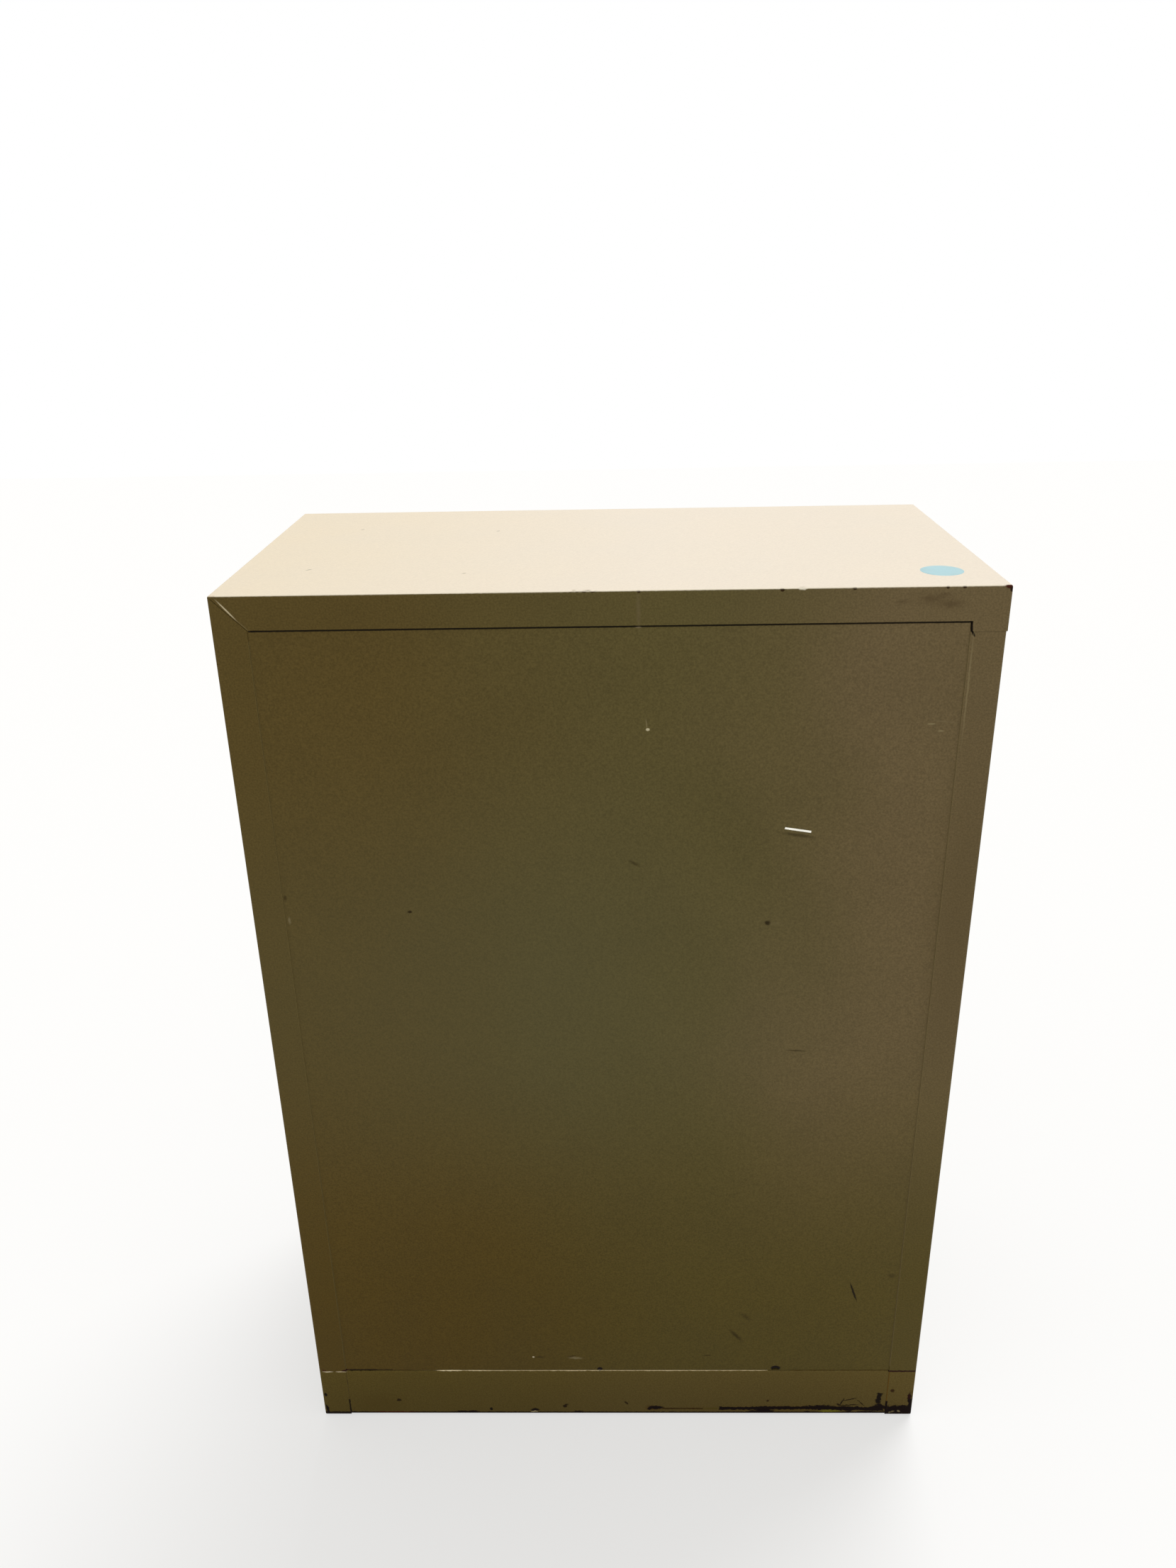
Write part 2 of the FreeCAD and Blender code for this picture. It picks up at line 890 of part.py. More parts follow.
# The pull: an extrusion as wide as the front, with a lip that fingers hook behind.
def make_drawer_pull(number):
    body = new_body(f"drawer_{number}_pull", drawer_floor(number))
    wall = cab.pull_wall
    top = pull_bottom + cab.pull_height
    points = [
        (front_face, pull_bottom),
        (box_front, pull_bottom),
        (box_front, top),
        (box_front - wall - cab.pull_brow, top),
        (box_front - wall - cab.pull_brow, top - wall),
        (box_front - wall, top - wall),
        (box_front - wall, pull_bottom + wall),
        (front_face + wall, pull_bottom + wall),
        (front_face + wall, pull_bottom + cab.pull_lip),
        (front_face, pull_bottom + cab.pull_lip),
    ]
    prism(body, "YZ_Plane", points, -front_half, front_half * 2)
    floor = (pull_bottom + wall).value
    round_edges(
        body,
        lambda e: along(e, "X")
        and near(e.BoundBox.ZMin, floor)
        and near(e.BoundBox.YMin, (box_front - wall).value),
        cab.pull_scoop,
    )
    round_edges(
        body,
        lambda e: along(e, "X") and near(e.BoundBox.ZMin, (pull_bottom + cab.pull_lip).value),
        cab.pull_lip_round,
    )
    return body


# The frame that holds a card on the drawer front, open at the top for the card.
def make_label_holder(number):
    body = new_body(f"drawer_{number}_label_holder", drawer_floor(number))
    half = cab.label_width / 2
    high = pull_bottom - cab.label_drop
    low = high - cab.label_height
    border = cab.label_border
    face = front_face - cab.label_thickness
    slab(body, "XZ_Plane", (-half, low), (half, high), face, cab.label_thickness)
    bevel_edges(body, lambda e: along(e, "Y"), border / 2)
    window(
        body,
        "XZ_Plane",
        (-half + border, low + border),
        (half - border, high - border / 2),
        face - PAST,
        cab.label_thickness + PAST * 2,
    )
    lap = cab.card_lap
    window(
        body,
        "XZ_Plane",
        (-half + border - lap, low + border - lap),
        (half - border + lap, high + PAST),
        front_face - cab.card_depth,
        cab.card_depth + PAST,
    )
    return body


# The drawer's box: a folded tray with turned rims and two rows of divider slots.
def make_drawer_box(number):
    body = new_body(f"drawer_{number}_box", drawer_floor(number))
    wall = cab.box_sheet
    slab(
        body,
        "XY_Plane",
        (-box_half, box_front),
        (box_half, box_back),
        cab.box_floor,
        cab.box_height,
    )
    round_edges(
        body,
        lambda e: along(e, "X") and near(e.BoundBox.ZMax, cab.box_floor.value),
        cab.box_bend,
    )
    hollow(body, wall, lambda box: near(box.ZMin, box_top.value))
    rim_edge = box_half + cab.rim_width
    sketch = sketch_from(body, "XZ_Plane", box_front)
    for side in (1, -1):
        points = [
            ((box_half - wall) * side, box_top - wall),
            ((rim_edge - wall) * side, box_top - wall),
            ((rim_edge - wall) * side, box_top - cab.rim_drop),
            (rim_edge * side, box_top - cab.rim_drop),
            (rim_edge * side, box_top),
            ((box_half - wall) * side, box_top),
        ]
        draw_outline(sketch, points)
    raise_from(body, sketch, box_back - box_front, backwards=True)
    span = (box_half - cab.divider_slot_margin) * 2
    count = int((span - cab.divider_slot_width).value // cab.divider_slot_pitch.value) + 1
    for row_start in (
        box_front + cab.divider_slot_margin,
        box_back - cab.divider_slot_margin - cab.divider_slot_length,
    ):
        first = -(cab.divider_slot_pitch * (count - 1) + cab.divider_slot_width) / 2
        slot = window(
            body,
            "XY_Plane",
            (first, row_start),
            (first + cab.divider_slot_width, row_start + cab.divider_slot_length),
            cab.box_floor - PAST,
            wall + PAST * 2,
        )
        repeat(body, slot, "H_Axis", cab.divider_slot_pitch, count)
    return body


# The catch on the right side of a drawer's box, which the lock bar's hook comes up in front of.
def make_drawer_catch(number):
    body = new_body(f"drawer_{number}_catch", drawer_floor(number))
    front = hook_front + cab.hook_thickness + cab.catch_play
    foot = cab.hook_level + cab.hook_height + cab.catch_rise
    points = [
        (box_half, front),
        (box_half + cab.catch_reach, front),
        (box_half + cab.catch_reach, front + cab.catch_sheet),
        (box_half + cab.catch_sheet, front + cab.catch_sheet),
        (box_half + cab.catch_sheet, front + cab.catch_foot),
        (box_half, front + cab.catch_foot),
    ]
    prism(body, "XY_Plane", points, foot, cab.catch_height)
    return body


# The pair of rails that hanging folders ride on; their ends hook over the box's rims.
def make_folder_rails(number):
    body = new_body(f"drawer_{number}_folder_rails", drawer_floor(number))
    inside = box_half - cab.box_sheet - cab.seam_gap
    outside = box_half + cab.rim_width
    low = box_top - cab.folder_rail_height
    high = box_top + cab.folder_rail_hook
    points = [
        (-inside, low),
        (inside, low),
        (inside, box_top),
        (outside, box_top),
        (outside, high),
        (-outside, high),
        (-outside, box_top),
        (-inside, box_top),
    ]
    first = box_front + cab.box_sheet + cab.folder_rail_inset
    for start in (first, first + cab.folder_span):
        prism(body, "XZ_Plane", points, start, cab.folder_rail_thickness)
    return body


# The telescopic slides are three channels, one inside the other, seen here in section: inward
# is the distance from the uprights towards the drawer, and up is counted from the middle line.
outer_half = cab.slide_height / 2
middle_half = outer_half - cab.slide_sheet - cab.race_height
inner_half = middle_half - cab.slide_sheet - cab.race_height
middle_web = cab.slide_sheet + cab.slide_nest
inner_tip = middle_web + cab.slide_sheet + cab.slide_nest
middle_back = slide_back - cab.slide_sheet - cab.slide_clearance
inner_race = inner_tip + cab.race_step
middle_travel = drawer_travel / 2


def slide_level(number):
    """The height of the middle line of a drawer's slides."""
    return drawer_floor(number) + cab.slide_centre


def section(points):
    """Points of a slide's section, as inward and up, on the right side of the case."""
    return [(slide_face - inward, up) for inward, up in points]


def slide_block(body, inward, up, start, length):
    """A rectangular length of a slide, and the same below the middle line."""
    sketch = sketch_from(body, "XZ_Plane", start)
    for turn in (1, -1):
        low = (slide_face - inward[0], up[0] * turn)
        high = (slide_face - inward[1], up[1] * turn)
        draw_outline(sketch, box_corners(low, high))
    return raise_from(body, sketch, length, backwards=True)


# The fixed member, hooked into the uprights, with stops at both ends.
def make_slide_outer(number):
    body = new_body(f"slide_outer_{number}", slide_level(number))
    wall = cab.slide_sheet
    tip = cab.slide_depth
    inside = outer_half - wall
    lip = inside - cab.slide_lip
    points = [
        (ZERO, -outer_half),
        (tip, -outer_half),
        (tip, -lip),
        (tip - wall, -lip),
        (tip - wall, -inside),
        (wall, -inside),
        (wall, inside),
        (tip - wall, inside),
        (tip - wall, lip),
        (tip, lip),
        (tip, outer_half),
        (ZERO, outer_half),
    ]
    prism(body, "XZ_Plane", section(points), slide_front, slide_length)
    race = (cab.race_inset, cab.race_inset + cab.race_width)
    stop = (inside - cab.slide_stop, inside)
    slide_block(body, race, stop, slide_front, cab.slide_stop_length)
    end_plate = box_corners((slide_face - wall, -inside), (slide_face - race[1], inside))
    prism(body, "XZ_Plane", end_plate, slide_back - wall, wall)
    return left_and_right(body)


# The middle member, with a bearing race above and below for each of its neighbours.
def make_slide_middle(number):
    body = new_body(f"slide_middle_{number}", slide_level(number))
    wall = cab.slide_sheet
    tip = cab.slide_depth + wall
    inside = middle_half - wall
    points = [
        (middle_web, -middle_half),
        (tip, -middle_half),
        (tip, -inside),
        (middle_web + wall, -inside),
        (middle_web + wall, inside),
        (tip, inside),
        (tip, middle_half),
        (middle_web, middle_half),
    ]
    prism(body, "XZ_Plane", section(points), slide_front, middle_back - slide_front)
    stopped = cab.slide_stop_length + cab.slide_clearance + middle_travel
    race = (cab.race_inset, cab.race_inset + cab.race_width)
    outer_race = (middle_half, middle_half + cab.race_height - cab.slide_clearance)
    start = slide_front + stopped
    slide_block(body, race, outer_race, start, middle_back - start)
    race = (inner_race, inner_race + cab.race_width)
    inner_race_up = (inner_half + cab.slide_clearance, inside)
    end = middle_back - stopped
    slide_block(body, race, inner_race_up, slide_front, end - slide_front)
    return left_and_right(body)


# The member on the drawer's box, with a stop at its rear end.
def make_slide_inner(number):
    body = new_body(f"drawer_{number}_slide", slide_level(number))
    wall = cab.slide_sheet
    seat = cab.slide_space
    inside = inner_half - wall
    points = [
        (seat, -inner_half),
        (inner_tip, -inner_half),
        (inner_tip, -inside),
        (seat - wall, -inside),
        (seat - wall, inside),
        (inner_tip, inside),
        (inner_tip, inner_half),
        (seat, inner_half),
    ]
    prism(body, "XZ_Plane", section(points), slide_front, middle_back - slide_front)
    race = (inner_race, inner_race + cab.race_width)
    stop = (inner_half, inner_half + cab.slide_stop)
    slide_block(body, race, stop, middle_back - cab.slide_stop_length, cab.slide_stop_length)
    return left_and_right(body)


# The lock's fixed barrel, with its bezel on the top rail.
def make_lock_cylinder():
    body = new_body("lock_cylinder")
    centre = (lock_x, lock_z)
    bezel_face = front_face - cab.bezel_height
    rod(body, "XZ_Plane", centre, cab.bezel_radius, bezel_face, cab.bezel_height)
    rod(body, "XZ_Plane", centre, cab.lock_radius, front_face, cab.lock_length)
    hole = cab.plug_radius + cab.plug_clearance
    depth = cab.bezel_height + cab.lock_length
    bore(body, "XZ_Plane", centre, hole, bezel_face - PAST, depth + PAST * 2)
    return body


# The plug that the key turns.
def make_lock_plug():
    body = new_body("lock_plug")
    face = front_face - cab.bezel_height
    rod(body, "XZ_Plane", (lock_x, lock_z), cab.plug_radius, face, cam_front - face)
    half_width = cab.keyway_width / 2
    half_height = cab.keyway_height / 2
    window(
        body,
        "XZ_Plane",
        (lock_x - half_width, lock_z - half_height),
        (lock_x + half_width, lock_z + half_height),
        face - PAST,
        cab.keyway_depth + PAST,
    )
    return body


# The cam on the plug's tail: a crank whose pin lifts the lock bar as the plug turns.
def make_lock_cam():
    body = new_body("lock_cam")
    centre = (lock_x, lock_z)
    pin = (pin_x, pin_z)
    rod(body, "XZ_Plane", centre, cab.cam_hub, cam_front, cab.cam_plate)
    across = cab.cam_arm * sine(lock_half_swing)
    rise = cab.cam_arm * cosine(lock_half_swing)
    arm = [
        (lock_x - across, lock_z - rise),
        (pin_x - across, pin_z - rise),
        (pin_x + across, pin_z + rise),
        (lock_x + across, lock_z + rise),
    ]
    prism(body, "XZ_Plane", arm, cam_front, cab.cam_plate)
    rod(body, "XZ_Plane", pin, cab.cam_arm, cam_front, cab.cam_plate)
    rod(body, "XZ_Plane", pin, cab.cam_pin, cam_front, cab.cam_plate + cab.cam_pin_length)
    return body


# The lock bar: a strip inside the front right upright with a hook for each drawer. A plate at
# its top reaches over to the cam, whose pin runs in the plate's slot.
def make_lock_bar():
    body = new_body("lock_bar")
    wall = cab.lock_bar_sheet
    strip_front = upright_front + cab.lock_bar_setback
    strip_back = strip_front + cab.lock_bar_width
    foot = drawer_floor(DRAWER_COUNT) + cab.hook_level
    plate_low = pin_z - cab.lock_plate_height / 2
    plate_high = pin_z + cab.lock_plate_height / 2
    plate_front = cam_front + cab.cam_plate + cab.cam_play
    slab(
        body,
        "XY_Plane",
        (lock_bar_x, strip_front),
        (lock_bar_x + wall, strip_back),
        foot,
        plate_high - foot,
    )
    slab(body, "YZ_Plane", (plate_front, plate_low), (strip_back, plate_high), lock_bar_x, wall)
    slot_half = cab.cam_pin + cab.cam_play
    slot_start = pin_x - slot_half
    slab(
        body,
        "XZ_Plane",
        (slot_start - cab.lock_plate_lap, plate_low),
        (lock_bar_x + wall, plate_high),
        plate_front,
        wall,
    )
    window(
        body,
        "XZ_Plane",
        (slot_start, pin_z - slot_half),
        (lock_x + cab.crank + slot_half, pin_z + slot_half),
        plate_front - PAST,
        wall + PAST * 2,
    )
    for number in range(1, DRAWER_COUNT + 1):
        slab(
            body,
            "XY_Plane",
            (slide_face - cab.hook_reach, hook_front),
            (lock_bar_x + wall, hook_front + cab.hook_thickness),
            drawer_floor(number) + cab.hook_level,
            cab.hook_height,
        )
    return body


def build_case():
    """The shell, the base and the frame inside the case."""
    keep("case_wrapper", make_case_wrapper())
    keep("left_side_panel", make_left_side_panel())
    keep("back_panel", make_back_panel())
    keep("case_bottom", make_case_bottom())
    keep("top_stiffener", make_top_stiffener())
    for name, face, inward in (("base_back_rail", back_face, -1), ("base_front_rail", front_face, 1)):
        keep(name, make_base_rail(name, "YZ_Plane", face, inward, right_face))
    side_rail = make_base_rail("base_side_rail", "XZ_Plane", right_face, -1, back_face)
    keep("base_side_rails", left_and_right(side_rail))
    keep("corner_feet", make_corner_feet())
    keep("levelling_glides", make_levelling_glides())
    keep("ballast_bar", make_ballast())
    keep("upright_front_right", make_upright("upright_front_right", upright_front, True))
    front_left = make_upright("upright_front", upright_front, False)
    keep("upright_front_left", mirrored(front_left, "upright_front_left", ACROSS))
    upright_rear = panel_front - cab.upright_rear_gap - cab.upright_width
    keep("uprights_back", left_and_right(make_upright("upright_back", upright_rear, False)))
    keep("cross_rails", make_cross_rails())


def build_drawers():
    """Each drawer's own pieces and its slides."""
    for number in range(1, DRAWER_COUNT + 1):
        keep(f"drawer_{number}_front", make_drawer_front(number))
        keep(f"drawer_{number}_liner", make_drawer_liner(number))
        keep(f"drawer_{number}_pull", make_drawer_pull(number))
        keep(f"drawer_{number}_label_holder", make_label_holder(number))
        keep(f"drawer_{number}_box", make_drawer_box(number))
        keep(f"drawer_{number}_catch", make_drawer_catch(number))
        keep(f"drawer_{number}_folder_rails", make_folder_rails(number))
        keep(f"slide_outer_{number}", make_slide_outer(number))
        keep(f"slide_middle_{number}", make_slide_middle(number))
        keep(f"drawer_{number}_slide", make_slide_inner(number))


def build_lock():
    """The lock and the bar that it moves."""
    keep("lock_cylinder", make_lock_cylinder())
    keep("lock_plug", make_lock_plug())
    keep("lock_cam", make_lock_cam())
    keep("lock_bar", make_lock_bar())


def check_objects():
    """Stops if anything in the document failed or any sub-part has no sound shape."""
    for thing in doc.Objects:
        if "Invalid" in thing.State or "Error" in thing.State:
            raise RuntimeError(f"{thing.Name} failed: {thing.State}")
    for label, thing in parts.items():
        if thing.Shape.isNull() or not thing.Shape.isValid():
            raise RuntimeError(f"{label} has no sound shape")


def write_parts():
    """Writes each sub-part to its own file."""
    os.makedirs("parts", exist_ok=True)
    for label, thing in parts.items():
        thing.Shape.exportStep(os.path.join("parts", label + ".step"))


build_case()
build_drawers()
build_lock()
doc.recompute()
check_objects()
write_parts()
print(f"{len(parts)} sub-parts written")
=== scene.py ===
"""Looks of a four-drawer lateral filing cabinet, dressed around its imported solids.

The cabinet stands on the floor at the origin, +Z is up and the drawers face -Y. The camera looks
at its back from +Y, from a little above the top. Lengths are metres, unless a name ends in _mm.
"""

import logging
import math
from dataclasses import dataclass, field
from enum import Enum
from functools import partial
from typing import Callable, Sequence

import bmesh
import bpy
from mathutils import Matrix, Vector


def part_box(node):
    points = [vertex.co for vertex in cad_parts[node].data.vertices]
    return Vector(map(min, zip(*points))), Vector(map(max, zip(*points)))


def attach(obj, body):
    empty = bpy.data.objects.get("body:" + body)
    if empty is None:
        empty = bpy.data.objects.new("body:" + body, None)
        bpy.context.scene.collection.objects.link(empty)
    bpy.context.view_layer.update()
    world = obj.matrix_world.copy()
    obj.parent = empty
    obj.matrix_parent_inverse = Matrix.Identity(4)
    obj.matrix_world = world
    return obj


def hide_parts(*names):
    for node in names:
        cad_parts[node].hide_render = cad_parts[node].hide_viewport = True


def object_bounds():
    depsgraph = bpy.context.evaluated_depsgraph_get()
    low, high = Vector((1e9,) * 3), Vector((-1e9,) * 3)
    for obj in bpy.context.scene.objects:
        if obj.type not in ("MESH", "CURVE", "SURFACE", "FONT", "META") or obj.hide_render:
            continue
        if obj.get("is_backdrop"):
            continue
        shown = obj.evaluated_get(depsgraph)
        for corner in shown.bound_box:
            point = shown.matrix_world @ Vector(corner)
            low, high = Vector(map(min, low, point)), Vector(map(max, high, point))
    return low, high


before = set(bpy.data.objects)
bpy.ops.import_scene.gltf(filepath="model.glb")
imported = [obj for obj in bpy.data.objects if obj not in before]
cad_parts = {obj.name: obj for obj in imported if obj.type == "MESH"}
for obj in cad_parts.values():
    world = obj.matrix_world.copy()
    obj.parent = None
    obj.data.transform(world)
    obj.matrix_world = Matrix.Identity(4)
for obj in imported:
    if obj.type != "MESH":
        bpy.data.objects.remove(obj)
CAD_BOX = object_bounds()

LOG = logging.getLogger("filing_cabinet")
MM = 0.001
QUARTER_TURN = math.pi / 2
FRONT_FACE = -0.244475
TOP_FACE = 1.31445
DRAWER_FLOORS = {1: 0.98865, 2: 0.69485, 3: 0.40105, 4: 0.10725}
WHITE = (1.0, 1.0, 1.0, 1.0)
SMOOTH = {"interpolation_type": "SMOOTHSTEP"}
# A mark's depth, so that only its flat side counts, and how far a point off that side is put
MARK_DEPTH_MM = 1e6
OFF_SIDE_MM = 9e5

Node = bpy.types.Node
Socket = bpy.types.NodeSocket
Sockets = bpy.types.bpy_prop_collection
Piece = bpy.types.Object
Inputs = dict[str, object]
Adder = Callable[..., Node]
Point = tuple[float, float, float]


def linear(code: str) -> tuple[float, float, float, float]:
    """Turns an sRGB hex colour into the linear colour that shaders use.

    Args:
        code: The colour as #RRGGBB.

    Returns:
        Red, green, blue and an alpha of 1.
    """
    parts = [int(code[i : i + 2], 16) / 255 for i in (1, 3, 5)]
    red, green, blue = (
        p / 12.92 if p <= 0.04045 else ((p + 0.055) / 1.055) ** 2.4 for p in parts
    )
    return red, green, blue, 1.0


def add_node(
    tree: bpy.types.NodeTree, kind: str, inputs: Inputs | Sequence[object] = (), **settings: object
) -> Node:
    """Adds one node, gives it its settings and fills or links its inputs.

    Args:
        tree: The tree that gets the node.
        kind: Blender's name for the kind of node, where a leading ShaderNode is left out.
        inputs: Values, sockets or nodes for the inputs in use, in their order or by their
            names. A node stands for its first output in use.
        **settings: The node's own properties.

    Returns:
        The new node.
    """
    node = tree.nodes.new(kind if "Node" in kind else f"ShaderNode{kind}")
    for name, value in settings.items():
        setattr(node, name, value)
    in_use = [s for s in node.inputs if s.enabled and not s.is_unavailable]
    if isinstance(inputs, dict):
        pairs = [(next(s for s in in_use if s.name == name), v) for name, v in inputs.items()]
    else:
        pairs = list(zip(in_use, inputs))
    for socket, value in pairs:
        if isinstance(value, Node):
            value = next(o for o in value.outputs if o.enabled and not o.is_unavailable)
        if isinstance(value, Socket):
            tree.links.new(value, socket)
        else:
            socket.default_value = value
    return node


def empty_tree(owner: bpy.types.Material | bpy.types.World) -> Adder:
    """Empties the tree of a material or a world.

    Args:
        owner: The material or the world.

    Returns:
        The function that adds a node to its tree.
    """
    owner.use_nodes = True
    owner.node_tree.nodes.clear()
    return partial(add_node, owner.node_tree)


# --------------------------------------------------------------------------------- finishes


class Side(Enum):
    """The flat side of the cabinet that a mark lies on."""

    BACK = "back"
    FRONT = "front"
    TOP = "top"
    RIGHT = "right"
    LEFT = "left"


@dataclass(frozen=True)
class Mark:
    """One scratch, chip, stain or scrape, as a ragged or soft ellipse or rectangle.

    Across and up are its centre's x and z on the back and the front, x and y on the top, and y
    and z on the right and the left. The turn is in degrees, and the softness is a share of the
    mark's half width. Square and bright go from 0 to 1.
    """

    side: Side
    across_mm: float
    up_mm: float
    wide_mm: float
    tall_mm: float
    colour: str
    turn: float
    strength: float
    soft: float
    ragged_mm: float = 0.0
    square: float = 0.0
    bright: float = 0.0

    def add_mask(self, add: Adder, places: dict[Side, Node], jitter: Node) -> Node:
        """Adds the mark's mask to a paint.

        Args:
            add: Adds a node to the paint.
            places: The place on each side, in millimetres.
            jitter: Noise that makes an edge ragged.

        Returns:
            The node that gives the mask, from 0 to the mark's strength.
        """
        half_width = min(self.wide_mm, self.tall_mm) / 2
        inputs = {
            "Place": places[self.side],
            "Jitter": jitter,
            "Ragged": self.ragged_mm,
            "Centre": (self.across_mm, self.up_mm, 0.0),
            "Turn": -math.radians(self.turn),
            "Half Size": (self.wide_mm / 2, self.tall_mm / 2, MARK_DEPTH_MM),
            "Half Width": half_width,
            "Soft": self.soft * half_width,
            "Strength": self.strength,
            "Square": self.square,
        }
        return add("Group", inputs, node_tree=mark_group())


def mark_group() -> bpy.types.NodeTree:
    """Builds, once, the node group that draws one mark.

    Returns:
        The group, whose output is the mark's mask.
    """
    found = bpy.data.node_groups.get("worn_mark")
    if found:
        return found
    tree = bpy.data.node_groups.new("worn_mark", "ShaderNodeTree")
    add = partial(add_node, tree)
    for kind, names in (
        ("Vector", ("Place", "Jitter", "Centre", "Half Size")),
        ("Float", ("Ragged", "Turn", "Half Width", "Soft", "Strength", "Square")),
    ):
        for name in names:
            tree.interface.new_socket(name, in_out="INPUT", socket_type=f"NodeSocket{kind}")
    tree.interface.new_socket("Mask", in_out="OUTPUT", socket_type="NodeSocketFloat")
    given = add("NodeGroupInput").outputs
    shift = add("VectorMath", [given["Jitter"], given["Ragged"]], operation="SCALE")
    shaken = add("VectorMath", [given["Place"], shift], operation="ADD")
    away = add("VectorMath", [shaken, given["Centre"]], operation="SUBTRACT")
    along = add("VectorRotate", {"Vector": away, "Angle": given["Turn"]}, rotation_type="Z_AXIS")
    # How far the point is outside an ellipse, and outside a rectangle, in millimetres
    scaled = add("VectorMath", [along, given["Half Size"]], operation="DIVIDE")
    reach = add("VectorMath", [scaled], operation="LENGTH")
    past = add("Math", [reach, 1.0], operation="SUBTRACT")
    off_round = add("Math", [past, given["Half Width"]], operation="MULTIPLY")
    upright = add("VectorMath", [along], operation="ABSOLUTE")
    excess = add("VectorMath", [upright, given["Half Size"]], operation="SUBTRACT")
    sides = add("SeparateXYZ", [excess]).outputs
    off_square = add("Math", [sides["X"], sides["Y"]], operation="MAXIMUM")
    off = add("Mix", [given["Square"], off_round, off_square], data_type="FLOAT")
    inner = add("Math", [0.0, given["Soft"]], operation="SUBTRACT")
    near = add("MapRange", [off, inner, given["Soft"], given["Strength"], 0.0], **SMOOTH)
    # Off the mark's own side, the place's third number is far from nought
    depth = add("SeparateXYZ", [given["Place"]]).outputs["Z"]
    here = add("Math", [depth, 1.0], operation="LESS_THAN")
    add("NodeGroupOutput", [add("Math", [near, here], operation="MULTIPLY")])
    return tree


@dataclass(frozen=True)
class Finish:
    """A finish, which makes its material once and then hands out the same one."""

    name: str
    roughness: float = 0.5

    def material(self) -> bpy.types.Material:
        """Makes the material the first time, and finds it after that.

        Returns:
            The material.
        """
        made = bpy.data.materials.get(self.name)
        if made is None:
            made = bpy.data.materials.new(self.name)
            add = empty_tree(made)
            place = add("TexCoord").outputs["Object"]
            add("OutputMaterial", [add("BsdfPrincipled", self.dress(add, place))])
        return made

    def dress(self, add: Adder, place: Socket) -> Inputs:
        """Adds the finish's own nodes.

        Args:
            add: Adds a node to the material.
            place: The point on the piece, in metres.

        Returns:
            The surface shader's inputs.
        """
        raise NotImplementedError


